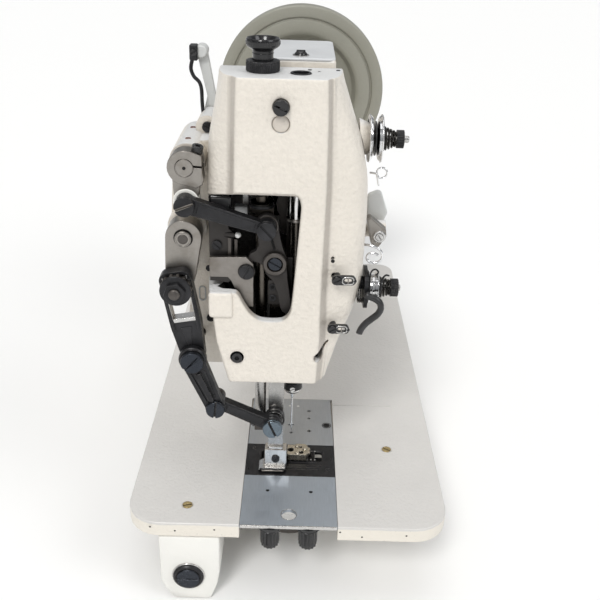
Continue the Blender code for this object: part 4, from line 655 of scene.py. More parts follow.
def cover_ring(z):
    xl, xr = smooth_table(z, C_XL), smooth_table(z, C_XR)
    pl, fl, pr, fr = lerp_table(z, C_PL), lerp_table(z, C_FL), lerp_table(z, C_PR), lerp_table(z, C_FR)
    hi = [(xl, 5.0), (xl + 0.2, -3.0), (xl + 0.7, -11.0), (xl + 2.6, -18.5), (xl + (fl - xl) * 0.48, -25.0), (fl - 2.0, -29.6), (fl - 0.1, -31.0), (fl + 1.1, -32.1), (pl - 1.6, -35.8), (pl - 0.3, -37.2), (pl + 1.6, -37.9), (pl + 5.0, -38.0)]
    lo = [(xl, 5.0), (xl + 0.3, -3.0), (xl + 0.9, -11.0), (xl + 1.5, -18.5), (xl + (fl - xl) * 0.6, -25.0), (fl - 0.9, -30.0), (fl - 0.5, -33.2), (fl - 0.2, -35.2), (fl + 0.5, -36.9), (fl + 1.4, -37.7), (fl + 3.0, -38.0), (fl + 8.0, -38.0)]
    t = max(0.0, min(1.0, (z - 185.0) / 70.0))
    left = [(a[0] + (b[0] - a[0]) * t, a[1] + (b[1] - a[1]) * t) for a, b in zip(lo, hi)]
    wf = max(0.0, min(1.0, (344 - z) / 60.0))
    br = xr + (fr - xr) * (0.46 - 0.20 * wf)
    right = [(pr - 5.0, -38.0), (pr - 1.4, -37.9), (pr + 0.4, -37.1), (pr + 1.7, -35.4), (fr - 0.9, -32.0), (fr + 0.2, -30.9), (fr + min(1.8, (br - fr) * 0.35), -30.2), ((fr + br) / 2, -27.9), (br, -24.0), (max(xr - 1.3, br + 0.3), -15.0), (max(xr - 0.2, br + 0.6), -6.0), (xr, 5.0)]
    P = left + right
    out = []
    for i in range(len(P) - 1):
        p0, p1, p2, p3 = P[max(0, i - 1)], P[i], P[i + 1], P[min(len(P) - 1, i + 2)]
        n = 8 if i == len(left) - 1 else 3
        seg = math.hypot(p2[0] - p1[0], p2[1] - p1[1])
        T = []
        for a, b in ((p0, p2), (p1, p3)):
            v = ((b[0] - a[0]) * 0.5, (b[1] - a[1]) * 0.5)
            f = min(1.0, seg / max(1e-6, math.hypot(*v)))
            T.append((v[0] * f, v[1] * f if not (p1[1] == p2[1] == -38.0) else 0.0))
        for k in range(n):
            u = k / n
            q = []
            for c in (0, 1):
                m1, m2 = T[0][c], T[1][c]
                q.append((2 * u ** 3 - 3 * u ** 2 + 1) * p1[c] + (u ** 3 - 2 * u ** 2 + u) * m1 + (-2 * u ** 3 + 3 * u ** 2) * p2[c] + (u ** 3 - u ** 2) * m2)
            out.append((q[0], max(-38.0, q[1])))
    out.append(P[-1])
    return out


def offset(poly, d):
    """Outline moved outward by d along its vertex normals."""
    n = len(poly)
    area = sum(poly[i][0] * poly[(i + 1) % n][1] - poly[(i + 1) % n][0] * poly[i][1] for i in range(n))
    s = 1.0 if area > 0 else -1.0
    out = []
    for i in range(n):
        a, b, c = Vector(poly[i - 1]), Vector(poly[i]), Vector(poly[(i + 1) % n])
        e1, e2 = (b - a), (c - b)
        if e1.length < 1e-9 or e2.length < 1e-9:
            out.append(tuple(b))
            continue
        e1.normalize()
        e2.normalize()
        nv = Vector((e1.y + e2.y, -e1.x - e2.x)) * s
        if nv.length < 1e-6:
            out.append(tuple(b))
            continue
        nv.normalize()
        k = max(0.5, nv.dot(Vector((e1.y, -e1.x)) * s))
        out.append((b.x + nv.x * d / k, b.y + nv.y * d / k))
    return out


def chaikin(poly, times=2, q=0.25):
    for _ in range(times):
        out = []
        for i in range(len(poly)):
            a, b = poly[i], poly[(i + 1) % len(poly)]
            out.append((a[0] + (b[0] - a[0]) * q, a[1] + (b[1] - a[1]) * q))
            out.append((b[0] + (a[0] - b[0]) * q, b[1] + (a[1] - b[1]) * q))
        poly = out
    return poly


def ringmesh(name, rings):
    """Closed body through equal rings of points."""
    bm = bmesh.new()
    R = [[bm.verts.new(p) for p in r] for r in rings]
    n = len(R[0])
    for a, b in zip(R, R[1:]):
        for i in range(n):
            j = (i + 1) % n
            bm.faces.new((a[i], a[j], b[j], b[i]))
    bm.faces.new(R[0])
    bm.faces.new(R[-1])
    return _mesh(name, bm)


def raw(me):
    ob = bpy.data.objects.new(me.name, me)
    bpy.context.scene.collection.objects.link(ob)
    return ob


def carve(me, cutters, op="DIFFERENCE"):
    """Mesh me less every cutter mesh."""
    ob = raw(me)
    cs = []
    for c in cutters:
        k = raw(c)
        cs.append(k)
        m = ob.modifiers.new("b", "BOOLEAN")
        m.operation, m.solver, m.object = op, "EXACT", k
    bpy.context.view_layer.update()
    dg = bpy.context.evaluated_depsgraph_get()
    out = bpy.data.meshes.new_from_object(ob.evaluated_get(dg))
    for o in [ob] + cs:
        bpy.data.objects.remove(o)
    return out


def prism(name, poly, plane, lo, hi):
    rr = []
    for v in (lo, hi):
        rr.append([(p[0], v, p[1]) if plane == "XZ" else ((p[0], p[1], v) if plane == "XY" else (v, p[0], p[1])) for p in poly])
    return ringmesh(name, rr)


def box6(name, x0, x1, y0, y1, z0, z1):
    return prism(name, [(x0, y0), (x1, y0), (x1, y1), (x0, y1)], "XY", z0, z1)


def flare(name, poly, y0, steps=((3.0, -1.6), (1.5, -0.6), (0.62, 0.35), (0.2, 0.95), (0.0, 1.9))):
    """Softened rim of an opening through the flat front: outline grown by the first number at depth y0 + the second."""
    return ringmesh(name, [[(p[0], y0 + dy, p[1]) for p in offset(poly, d)] for d, dy in steps])


zs = [102.0, 102.06, 102.25, 102.6, 103.1] + [106.0 + 4.0 * i for i in range(58)] + [338.0, 341.0, 342.8, 343.25, 343.6, 343.85, 344.0]
rings = []
for z in zs:
    r = cover_ring(z)
    ins = 0.0
    if z > 342.8:
        ins = 1.2 - math.sqrt(max(0.0, 1.2 ** 2 - (z - 342.8) ** 2))
    if z < 103.1:
        ins = 1.1 - math.sqrt(max(0.0, 1.1 ** 2 - (103.1 - z) ** 2))
    if ins:
        n = len(r)
        q = []
        for i, p in enumerate(r):
            a, b = Vector(r[max(0, i - 1)]), Vector(r[min(n - 1, i + 1)])
            t = (b - a).normalized()
            q.append((p[0] - t.y * ins, min(5.0, p[1] + t.x * ins)))
        r = q
    rings.append([(x, y, z) for x, y in r])
win = [(-4.0, 262.2), (0.8, 260.8), (2.8, 255.0), (2.8, 250.0), (-2.2, 172.0), (-3.9, 164.0), (-8.0, 159.2), (-13.0, 158.0),
       (-25.0, 158.0), (-31.0, 160.6), (-36.0, 166.0), (-40.5, 174.0), (-43.4, 180.4), (-47.0, 182.6)]
wl = [(-45.0, 262.2)] + win + [(-48.0, 182.6)]
wopen = [(-95.0, 262.2)] + chaikin([(-95.0, 262.2)] + win + [(-95.0, 182.6)], 2)[4:-4] + [(-95.0, 182.6)]
cavity = []
for z in (110, 118, 134, 156, 170, 187, 214, 242, 258, 269, 293, 320, 336):
    xl, xr, gl, gr = lerp_table(z, C_XL) + 7.0, lerp_table(z, C_XR) - 7.0, lerp_table(z, C_PL) - 1.0, lerp_table(z, C_PR) + 1.0
    cavity.append([(xl, 8.0, z), (xl + 0.4, -8.0, z), (xl + 6.0, -20.0, z), (gl, -27.0, z), (gl + 4.0, -30.6, z), (gr - 4.0, -30.6, z), (gr, -27.0, z), (xr - 6.0, -20.0, z), (xr - 0.4, -8.0, z), (xr, 8.0, z)])
notch = chaikin([(16.4, 123.2), (16.0, 126.6), (18.0, 129.4), (21.0, 132.2), (24.2, 137.4), (27.5, 139.6), (28.0, 137.6), (25.6, 135.6), (23.2, 130.6), (23.4, 126.4), (22.0, 122.8), (19.0, 121.8)], 3)
cover = carve(ringmesh("face_shell", rings), [
    ringmesh("c0", cavity),
    ringmesh("c1", [[(p[0], y, p[1] - max(0.0, (y + 38.0) * 0.42) * max(0.0, min(1.0, (p[1] - 190.0) / 60.0))) for p in wopen] for y in (-60.0, -38.0, -5.0)]),
    flare("c2", wopen, -38.0),
    ringmesh("c3", [[(-95.0, y, 182.6), (-58.0, y, 182.6), (-58.0, y, 262.2 - (y + 38.0) * 0.42), (-95.0, y, 262.2 - (y + 38.0) * 0.42)] for y in (-20.0, 20.0)]),
    box6("c4", -36.0, 16.0, -17.0, 20.0, 90.0, 125.0),
    prism("c5", circ(-13.0, 325.0, 6.0, 48), "XZ", -60.0, -20.0),
    prism("c6", circ(-13.0, 313.0, 6.3, 48), "XZ", -60.0, -35.6),
    flare("c7", circ(-13.0, 313.0, 6.3, 48), -38.0, ((1.6, -0.8), (0.5, 0.1), (0.12, 0.5), (-0.1, 1.2))),
    prism("c9", circ(-26.9, -12.0, 8.35, 40), "XY", 330.0, 350.0),
    prism("c10", circ(0, -16.5, 7.65, 40), "XY", 330.0, 350.0),
    prism("c11", circ(29.5, 195.4, 2.2, 20), "XZ", -60.0, 0.0),
    prism("c12", circ(27.8, 209.8, 1.4, 20), "XZ", -60.0, 0.0),
    prism("c13", notch, "XZ", -60.0, -20.0),
    flare("c14", notch, -38.0, ((1.4, -0.8), (0.45, 0.1), (0.1, 0.5), (-0.1, 1.2))),
])
cv = _put("face_cover_shell", cover, "skin", "frame", 0, 2, 34)
cv.data.materials.append(M["inner"])


def in_cavity(p):
    """True on or inside the hollow of the cover; p in millimetres from the needle point."""
    if not 109.8 < p.z < 336.2:
        return False
    k = 0
    while k < len(cavity) - 2 and p.z > cavity[k + 1][0][2]:
        k += 1
    a, b = cavity[k], cavity[k + 1]
    t = (p.z - a[0][2]) / (b[0][2] - a[0][2])
    poly = offset([(u[0] + (v[0] - u[0]) * t, u[1] + (v[1] - u[1]) * t) for u, v in zip(a, b)], 0.25)
    hit = False
    for i in range(len(poly)):
        q, r = poly[i - 1], poly[i]
        if (q[1] > p.y) != (r[1] > p.y) and p.x < (r[0] - q[0]) * (p.y - q[1]) / (r[1] - q[1]) + q[0]:
            hit = not hit
    return hit


hollow = [in_cavity((v.co - BASE) / MM) for v in cv.data.vertices]
for f in cv.data.polygons:
    if all(hollow[i] for i in f.vertices):
        f.material_index = 1
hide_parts("face_cover")
rbox("face_cover_pad", -66.2, -47.5, -40.4, -34.0, 161.0, 182.6, "cream", "frame", 2.6, 5)

# ---- face cover and head top ------------------------------------------------
socket("cover_button_screw", (-44.7, -37.7, 125.5), F, 4.3, 2.3, "gloss", "frame", 2.0, bev=0.9)
washer("cover_button_seat", (-44.7, -37.5, 125.5), F, 5.6, 2.4, 0.5, "bright", "frame")
slotted("cover_screw_head", (-13.0, -41.2, 325.0), F, 5.5, 1.4, "gloss", "frame", roll=-25, w=0.9, bev=0.7)
# keyhole floor in the darker cream: painted shade in the recess
turn("keyhole_floor", [(0, 0.9), (2.6, 0.8), (4.8, 0.9), (5.9, 0.5), (6.15, 0.0), (6.15, -1.4), (0, -1.4)], (-13.0, -36.2, 313.0), F, "floor", "frame", 48)
turn("needle_bar_cap_ring", [(7.5, -6.0), (7.5, 0.7), (7.1, 1.1), (6.1, 1.1), (5.7, 0.7), (5.7, -6.0)], (0, -16.5, 343.6), UP, "black", "frame", 56)
turn("needle_bar_cap", [(0, -2.2), (3.0, -2.0), (4.9, -3.2), (5.4, -4.4), (5.4, -6.0), (0, -6.0)], (0, -16.5, 343.6), UP, "bright", "frame", 48)
slotted("needle_bar_cap_screw", (0, -16.5, 341.4), UP, 2.8, 0.9, "black", "frame", roll=35)
slotted("top_set_screw_a", (6.2, -3.7, 343.6), UP, 1.5, 0.7, "black", "frame", roll=10)
slotted("top_set_screw_b", (13.0, -9.0, 343.6), UP, 1.3, 0.6, "bright", "frame", roll=60)
turn("top_corner_plug", [(0, 0.6), (1.3, 0.5), (1.6, 0.0), (0, 0.0)], (26.4, -3.0, 343.9), UP, "black", "frame", 20)
plate("top_lid", rrect(-23.2, 25.2, 17.2, 100.6, 6.0, 10), "XY", 346.4, 348.4, "lid", "frame", bev=0.9, seg=4)
washer("top_lid_washer", (-0.6, 29.0, 348.3), UP, 6.2, 2.5, 0.7, "bright", "frame")
turn("top_lid_screw", [(0, 3.2), (2.0, 3.0), (3.6, 2.2), (4.8, 0.9), (5.0, 0.0), (0, 0.0)], (-0.6, 29.0, 348.9), UP, "gloss", "frame", 48)
# near-black slot: painted shade in the screw slot
rbox("top_lid_screw_slot", -3.9, 2.7, 28.5, 29.5, 350.9, 352.3, "hole", "frame", 0.1)

# ---- pressure knob ------------------------------------------------------------
kn = turn("pressure_knob_body", [(0, 363.2), (7.6, 363.2), (8.8, 363.7), (9.6, 365.4), (10.4, 366.5), (11.2, 366.6), (11.8, 365.9), (12.0, 364.6), (12.0, 362.6), (11.6, 361.4), (10.2, 360.2), (8.4, 359.2), (7.6, 358.4), (7.35, 357.4), (7.3, 346.0), (7.3, 343.6), (0, 343.6)],
          (-26.9, -12.0, 0.0), UP, "gloss", "pressure", 72, angle=40)
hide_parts("pressure_knob")
turn("pressure_knob_stem", [(0, 344.0), (5.6, 344.0), (5.6, 331.0), (0, 331.0)], (-26.9, -12.0, 0.0), UP, "black", "pressure", 32)
knurled("knob_rim_knurl", (-26.9, -12.0, 362.4), UP, 12.2, 2.4, "gloss", "pressure", 44, 0.03, bore=10.6, bev=0.3)
ring("knob_neck_groove_a", (-26.9, -12.0, 356.4), UP, 7.3, 0.35, "gloss", "pressure")
turn("knob_dish_button", [(0, 1.6), (2.4, 1.3), (3.2, 0.4), (3.2, 0.0), (0, 0)], (-26.9, -12.0, 363.2), UP, "black", "pressure")
knurled("lock_ring_knurl", (-26.9, -12.0, 344.6), UP, 12.0, 5.6, "black", "lock", 54, 0.035, bore=10.6, bev=0.35)
turn("lock_ring_top", [(7.7, 350.0), (10.9, 350.0), (11.6, 350.6), (11.0, 351.6), (9.2, 351.9), (7.7, 351.9)], (-26.9, -12.0, 0.0), UP, "black", "lock", 60)

# ---- window interior ------------------------------------------------------------
rbox("window_pad", -66.4, -48.6, -23.5, -18.0, 241.0, 255.4, "gloss", "frame", 3.0, 5)
rbox("window_pad_lip", -64.4, -50.6, -24.3, -23.0, 243.0, 253.4, "plastic", "frame", 1.2, 3)
rbox("window_block", -47.6, -37.6, -13.0, -5.0, 236.0, 243.0, "castgrey", "frame", 1.0, 3)
rbox("window_strip", -41.6, -37.2, -9.0, -5.0, 243.0, 262.0, "bright", "frame", 0.5)
plate("window_wall", [(-66.6, 202.5), (-49.0, 202.5), (-49.0, 226.0), (-51.5, 228.0), (-51.5, 238.5), (-66.6, 238.5)], "XZ", -21.0, -17.5, "dark_iron", "frame", bev=0.6)
rbox("window_rib", -52.4, -49.6, -22.6, -20.6, 203.0, 221.0, "iron", "frame", 0.6)
slotted("window_screw", (-60.7, -21.0, 214.6), F, 3.9, 1.8, "black", "frame", roll=-42)
tube("window_pin", [(-54.0, -19.5, 223.0), (-47.0, -21.2, 223.4)], 2.3, "dark_iron", "frame", 16)
turn("window_ball", [(0, 2.4), (0.9, 2.25), (1.7, 1.7), (2.25, 0.9), (2.4, 0), (2.0, -1.2), (1.2, -2.0), (0, -2.2)], (-44.6, -22.0, 223.5), (0.8, -0.55, 0.1), "ivory", "frame", 24, angle=60)
rbox("window_stop", -47.6, -45.0, -20.0, -14.0, 203.5, 219.0, "iron", "frame", 0.5)
slotted("guide_plate_screw", (-37.7, -28.2, 196.0), F, 5.9, 2.4, "black", "frame", roll=62)
washer("guide_plate_washer", (-37.7, -28.15, 196.0), F, 6.6, 2.4, 0.4, "dark_iron", "frame")
plate("guide_plate_step", [(-65.8, 191.2), (-65.8, 187.6), (-51.6, 186.2), (-49.8, 188.4), (-52.2, 191.2)], "XZ", -28.0, -25.4, "dark_iron", "frame", bev=0.3)
turn("needle_bar_bush", [(7.5, 0.0), (7.7, 0.6), (7.7, 33.0), (6.3, 33.0), (6.3, 0.0)], (0, 0, 229.5), UP, "polished", "frame")
turn("needle_bar_bush_rim", [(8.6, 0.0), (8.6, 2.2), (6.4, 2.2), (6.4, 0.0)], (0, 0, 229.0), UP, "steel", "frame", bev=0.3)
ps_ = coil("presser_spring_coil", (-26.9, -12.0, 245.2), UP, 8.0, 8.0, 75.6, 9.0, 1.35, "spring", "frame", per=30, dead=0.9)
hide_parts("pressure_spring")
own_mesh(ps_)
turn("presser_spring_seat", [(10.2, 0), (10.2, 2.4), (5.2, 2.4), (5.2, 0)], (-26.9, -12.0, 244.1), UP, "black", "presser", bev=0.4)
slotted("presser_collar_screw", (-26.9, -17.8, 235.0), F, 3.2, 1.4, "black", "presser", roll=70)
plate("walking_bar_clamp", rrect(-21.6, -5.4, 163.0, 184.4, 1.4), "XZ", -17.9, -16.1, "dark_iron", "walking", bev=0.4)
socket("walking_clamp_screw_a", (-17.7, -17.8, 178.6), F, 2.9, 0.9, "black", "walking", 1.6, bev=0.3)
socket("walking_clamp_screw_b", (-17.7, -17.8, 169.2), F, 2.9, 0.9, "black", "walking", 1.6, bev=0.3)

# ---- bell crank: forged shape with raised bosses ---------------------------------
bc = [(-22.2 + 8.8 * math.cos(math.radians(a)), 232.7 + 8.8 * math.sin(math.radians(a))) for a in range(-10, 191, 10)]
bc += [(-30.6, 229.5), (-29.2, 223.5), (-28.6, 217.0), (-30.5, 212.0), (-35.0, 209.6), (-36.4, 206.6), (-35.0, 203.4), (-29.6, 202.6), (-25.2, 200.2), (-24.4, 196.4), (-22.6, 192.6)]
bc += [(-17.0, 186.6), (-13.6, 177.0), (-11.6, 165.0), (-9.8, 160.6), (-6.4, 158.4), (-3.0, 160.2), (-2.6, 165.0), (-4.2, 176.0), (-6.2, 190.0), (-6.9, 200.0), (-7.6, 208.0), (-10.4, 216.0), (-12.4, 224.0), (-13.5, 231.0)]
bell = plate("bell_crank_forging", bc, "XZ", -25.0, -19.2, "dark_iron", "bell", holes=(circ(-15.9, 202.5, 4.4, 28),), bev=1.1, seg=3)
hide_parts("bell_crank")
turn("bell_hub_ring", [(9.2, 0.0), (9.4, 3.0), (8.6, 3.9), (6.3, 3.9), (5.9, 3.2), (5.9, 0.0)], (-15.9, -24.8, 202.5), F, "iron", "bell", 44)
slotted("bell_hub_screw", (-15.9, -26.2, 202.5), F, 5.2, 1.9, "blue", "bell", roll=-30)
turn("bell_hub_barrel", [(0, 0), (7.2, 0), (7.2, 3.0), (0, 3.0)], (-15.9, -19.4, 202.5), B, "iron", "bell", 36)
turn("link_pin_collar", [(0, 0.0), (8.4, 0.0), (8.4, 1.2), (3.2, 1.2), (3.2, 9.3), (0, 9.3)], (-22.2, -24.9, 232.7), F, "iron", "bell", 40)
slotted("link_pin_head", (-22.2, -34.6, 232.7), F, 7.3, 3.3, "black", "bell", roll=-48, w=1.5, bev=0.6)
# near-black wire: painted shade in the oil groove
tube("bell_oil_way", [(-19.4, -25.6, 224.0), (-16.6, -25.6, 214.0)], 0.9, "hole", "bell", 8)

# ---- upper rock shaft, split crank, link --------------------------------------------
# near-black disc: painted shade in the shaft's centre hole
turn("upper_shaft_centre", [(0, 0.25), (1.3, 0.1), (1.3, 0.0), (0, 0.0)], (-83.0, -26.45, 276.0), F, "hole", "upper_rock", 20)
ring("upper_shaft_chamfer", (-83.0, -26.3, 276.0), F, 6.25, 0.35, "steel", "upper_rock")
socket("split_clamp_screw", (-74.2, -19.5, 286.2), (0.22, -0.1, 1.0), 4.3, 5.4, "gloss", "upper_rock", 2.1, bev=0.5, knurl=True)
turn("split_clamp_seat", [(0, 0.0), (5.1, 0.0), (5.1, 1.0), (0, 1.0)], (-74.4, -19.4, 285.4), (0.22, -0.1, 1.0), "steel", "upper_rock", 32, bev=0.2)
plate("split_crank_ear", hull([(-70.6, 276.4), (-69.0, 267.0), (-70.0, 262.5), (-75.5, 261.5), (-76.5, 270.0)]), "XZ", -25.2, -13.4, "steel", "upper_rock", bev=1.0, seg=3)
turn("crank_pin_barrel", [(3.6, 0.0), (9.0, 0.0), (9.7, 0.7), (9.7, 12.2), (9.0, 12.9), (3.6, 12.9)], (-82.5, -13.0, 250.3), F, "bracket", "upper_rock", 48)
plate("crank_arm_web", hull([(-93.0, 262.5), (-72.6, 263.8)] + circ(-82.5, 252.0, 9.2, 28)), "XZ", -18.6, -13.6, "brown", "upper_rock", bev=1.2, seg=3)
slotted("crank_pin_head", (-82.5, -34.6, 250.3), F, 7.6, 4.4, "black", "upper_rock", roll=22, w=1.6, bev=0.6)
ring("upper_link_boss_a", (-82.5, -34.0, 250.3), F, 7.0, 0.55, "link", "upper_drag")
ring("upper_link_boss_b", (-22.2, -34.0, 232.7), F, 6.8, 0.5, "link", "upper_drag")


def taper_rib(name, a, b, wa, wb, ya, yb, mat, body, ra, rb, bev=0.5):
    """Raised flat panel along a link, stopping short of both bosses."""
    A, Bv = Vector(a), Vector(b)
    d = (Bv - A).normalized()
    nrm = Vector((-d.y, d.x))
    p, q = A + d * ra, Bv - d * rb
    out = [p + nrm * wa, p - nrm * wa, q - nrm * wb, q + nrm * wb]
    return plate(name, [(v.x, v.y) for v in out], "XZ", ya, yb, mat, body, bev=bev)


taper_rib("upper_link_panel", CRANK_PIN, LINK_PIN, 4.6, 3.2, -34.5, -33.5, "link", "upper_drag", 9.5, 9.0, 0.45)

# ---- lower rock shaft, arm, adjusting nut ----------------------------------------------
turn("lower_shaft_recess", [(0, 0.5), (1.6, 0.4), (3.4, 0.5), (3.9, 0.1), (3.9, 0.0), (0, 0.0)], (-86.2, -24.45, 219.6), F, "iron", "lower_rock", 32)
ring("lower_shaft_ring", (-86.2, -24.4, 219.6), F, 5.6, 0.45, "steel", "lower_rock")
# near-black ring: painted shade in the gap where the arm seats on the shaft
ring("lower_arm_seat", (-86.2, -22.0, 219.6), F, 7.0, 0.4, "hole", "lower_rock")
adj = turn("adjust_stud", [(0, 2.6), (1.4, 2.4), (2.9, 1.5), (3.6, 1.3), (4.4, 0.4), (4.4, -36.5), (0, -36.5)], (-91.3, -45.2, 182.6), F, "iron", "lower_rock", 36)
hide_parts("adjusting_nut")
disc_plate("adjust_hex_nut", circ(0, 0, 8.8, 6), (-91.3, -39.8, 182.6), F, 4.4, "black", "lower_rock", bev=0.7, roll=12)
turn("adjust_washer", [(4.6, 0), (11.8, 0), (12.2, 0.4), (12.2, 1.5), (11.2, 2.1), (4.6, 2.1)], (-91.3, -37.6, 182.6), F, "black", "lower_rock", 48)
knurled("adjust_castle_ring", (-91.3, -33.4, 182.6), F, 12.6, 4.2, "iron", "lower_rock", 14, 0.12, bore=4.7, bev=0.4)
turn("adjust_roller", [(4.5, 0), (8.4, 0), (8.4, 10.4), (4.5, 10.4)], (-91.3, -22.8, 182.6), F, "bright", "lower_rock", 40)

# ---- slotted rocker and tapered lever ---------------------------------------------------
rx, rz = ROCKER_AXIS
du = (ADJ_PIN[0] - rx, ADJ_PIN[1] - rz)
dl = math.hypot(*du)
ur = (du[0] / dl, du[1] / dl)
un = (-ur[1], ur[0])


def rk(along, across):
    return (rx + ur[0] * along + un[0] * across, rz + ur[1] * along + un[1] * across)


plate("rocker_slot_floor", [rk(31.8, -9.0), rk(35.2, -9.0), rk(35.2, 9.0), rk(31.8, 9.0)], "XZ", -32.4, -22.8, "bright", "rocker", bev=0.3)
for s in (-1, 1):
    plate("rocker_slot_face_%s" % ("l" if s < 0 else "r"), [rk(34.5, s * 8.75), rk(71.0, s * 8.75), rk(71.0, s * 9.6), rk(34.5, s * 9.6)], "XZ", -32.5, -22.8, "bright", "rocker", bev=0.15)
    plate("rocker_rail_%s" % ("l" if s < 0 else "r"), [rk(24.0, s * 10.6), rk(68.0, s * 11.6), rk(68.0, s * 10.0), rk(24.0, s * 8.6)], "XZ", -33.1, -32.0, "link", "rocker", bev=0.35)
plate("rocker_rib", [rk(11.0, -1.5), rk(27.0, -4.4), rk(27.0, 4.4), rk(11.0, 1.5)], "XZ", -33.0, -32.0, "link", "rocker", bev=0.4)
turn("rocker_collar", [(9.4, 0), (10.9, 0.5), (11.2, 1.2), (11.2, 5.4), (10.4, 6.2), (9.4, 6.2)], (rx, -32.8, rz), F, "link", "rocker", 48)
washer("rocker_collar_washer", (rx, -39.3, rz), F, 10.4, 5.0, 0.5, "black", "rocker")
slotted("rocker_stud_head", (rx, -39.9, rz), F, 9.2, 4.2, "blue", "frame", roll=42, w=1.5, bev=0.7)
d1 = Vector((LEVER_PIN[0] - rx, LEVER_PIN[1] - rz)).normalized()
n1 = Vector((-d1.y, d1.x))
A0, B0 = Vector(ROCKER_AXIS), Vector(LEVER_PIN)
for s in (-1, 1):
    a, b = A0 + d1 * 11.5 + n1 * s * 6.6, B0 - d1 * 9.0 + n1 * s * 4.6
    c, e = A0 + d1 * 11.5 + n1 * s * 5.2, B0 - d1 * 9.0 + n1 * s * 3.6
    plate("lever_flange_%s" % ("l" if s < 0 else "r"), [tuple(a), tuple(b), tuple(e), tuple(c)], "XZ", -40.4, -39.2, "link", "rocker", bev=0.4)
turn("lever_boss_ring", [(7.0, 0), (8.4, 0.3), (8.4, 2.2), (7.6, 2.8), (7.0, 2.8)], (LEVER_PIN[0], -36.6, LEVER_PIN[1]), F, "link", "rocker", 44)
slotted("lever_pin_head", (LEVER_PIN[0], -39.0, LEVER_PIN[1]), F, 7.6, 3.9, "blue", "rocker", roll=84, w=1.4, bev=0.6)
turn("lever_pin_sleeve", [(3.4, 0), (6.6, 0), (6.6, 6.0), (3.4, 6.0)], (LEVER_PIN[0], -24.2, LEVER_PIN[1]), B, "iron", "rocker", 36)

# ---- foot link and its end pin ------------------------------------------------------------
taper_rib("foot_link_panel", LEVER_PIN, FOOT_PIN, 3.4, 3.8, -32.6, -31.6, "link", "foot_drag", 9.6, 9.4, 0.45)
turn("foot_pin_boss", [(3.4, 0), (8.2, 0), (8.2, 1.4), (7.5, 1.9), (7.5, 2.8), (8.2, 3.3), (8.2, 5.3), (7.5, 5.8), (7.5, 6.6), (8.3, 7.1), (8.3, 8.0), (3.4, 8.0)], (FOOT_PIN[0], -24.3, FOOT_PIN[1]), F, "black", "foot_drag", 48)
slotted("foot_pin_head", (FOOT_PIN[0], -32.2, FOOT_PIN[1]), F, 8.2, 4.6, "bluesteel", "foot_drag", roll=-66, w=1.5, bev=0.7)
turn("walk_boss_sleeve", [(7.0, 0), (8.25, 0.2), (8.25, 2.4), (7.7, 2.9), (7.7, 3.6), (8.25, 4.1), (8.25, 7.8), (7.9, 8.1), (7.0, 8.1)], (-14.3, -15.7, 55.6), F, "black", "walking", 56)
turn("walk_boss_ring", [(6.0, 0), (8.5, 0), (8.5, 1.6), (8.0, 2.0), (6.0, 2.0)], (-14.3, -21.6, 55.6), F, "black", "walking", 44)

# ---- walking foot and feed -----------------------------------------------------------------
slotted("walking_foot_screw", (-13.2, -19.5, 11.8), F, 3.5, 1.5, "black", "walking", roll=48)
rbox("walking_foot_cap", -19.0, -7.0, -18.4, -9.4, 20.9, 23.4, "bright", "walking", 0.6)
rbox("walking_foot_step_l", -22.9, -21.0, -18.8, -9.6, 3.0, 18.0, "steel", "walking", 0.4)
rbox("walking_foot_toe", -27.0, -4.0, -23.4, -21.8, 1.3, 3.0, "black", "walking", 0.4)
plate("walking_foot_toe_bar", rrect(-25.4, -5.6, -24.6, -18.0, 1.0, 3), "XY", 1.3, 2.4, "steel", "walking", bev=0.3)
for i in range(13):
    x = -22.0 + i * 3.6
    rbox("feed_tooth_a%02d" % i, x, x + 1.7, -6.6, -5.7, -0.6, 1.5, "bright", "feed", 0.3, 2)
    rbox("feed_tooth_b%02d" % i, x, x + 1.7, 5.7, 6.6, -0.6, 1.5, "bright", "feed", 0.3, 2)
ps = [(-3.0, -7.2), (13.0, -7.2), (14.4, -6.6), (15.2, -5.0), (17.2, -4.4), (17.8, -2.4), (16.6, -0.6), (17.8, 1.2), (17.4, 3.4), (15.4, 4.2), (15.0, 6.6), (13.4, 8.6), (10.6, 9.2), (5.4, 9.2), (3.6, 7.6), (-3.0, 7.4)]
plate("foot_wing", ps, "XY", 5.6, 7.2, "foot", "presser", holes=(circ(0, 0, 2.8, 20), circ(9.5, -3.5, 2.1, 18), circ(9.0, 4.2, 1.5, 16)), bev=0.4)
for i, (fx, fy) in enumerate(((6.0, -5.6), (12.6, 1.0), (5.6, 4.8))):
    turn("foot_wing_boss_%d" % i, [(0, 1.5), (1.2, 1.5), (1.7, 1.0), (1.7, 0), (0, 0)], (fx, fy, 7.1), UP, "foot", "presser", 20)
rbox("foot_wing_rib", -2.6, 14.2, -8.6, -7.2, 2.0, 8.4, "foot", "presser", 0.4)
slotted("presser_foot_screw", (-31.9, -11.0, 45.5), (-1, 0, 0), 3.4, 1.8, "bright", "presser", roll=30)
turn("needle_clamp_ring", [(8.5, 0), (8.7, 0.3), (8.7, 1.3), (8.3, 1.7), (7.0, 1.7), (7.0, 0)], (0, 0, 73.6), UP, "bright", "needle_train", 44)
slotted("needle_clamp_screw", (0, -8.1, 77.6), F, 2.2, 1.7, "bright", "needle_train", roll=20)
turn("needle_hub", [(0, 0), (1.9, 0), (1.9, -5.5), (1.3, -7.5), (0, -7.5)], (0, 0, 71.7), UP, "polished", "needle_train", 24)
ring("needle_eye", (0, -0.3, 36.0), F, 0.85, 0.3, "polished", "needle_train", 20, 6)

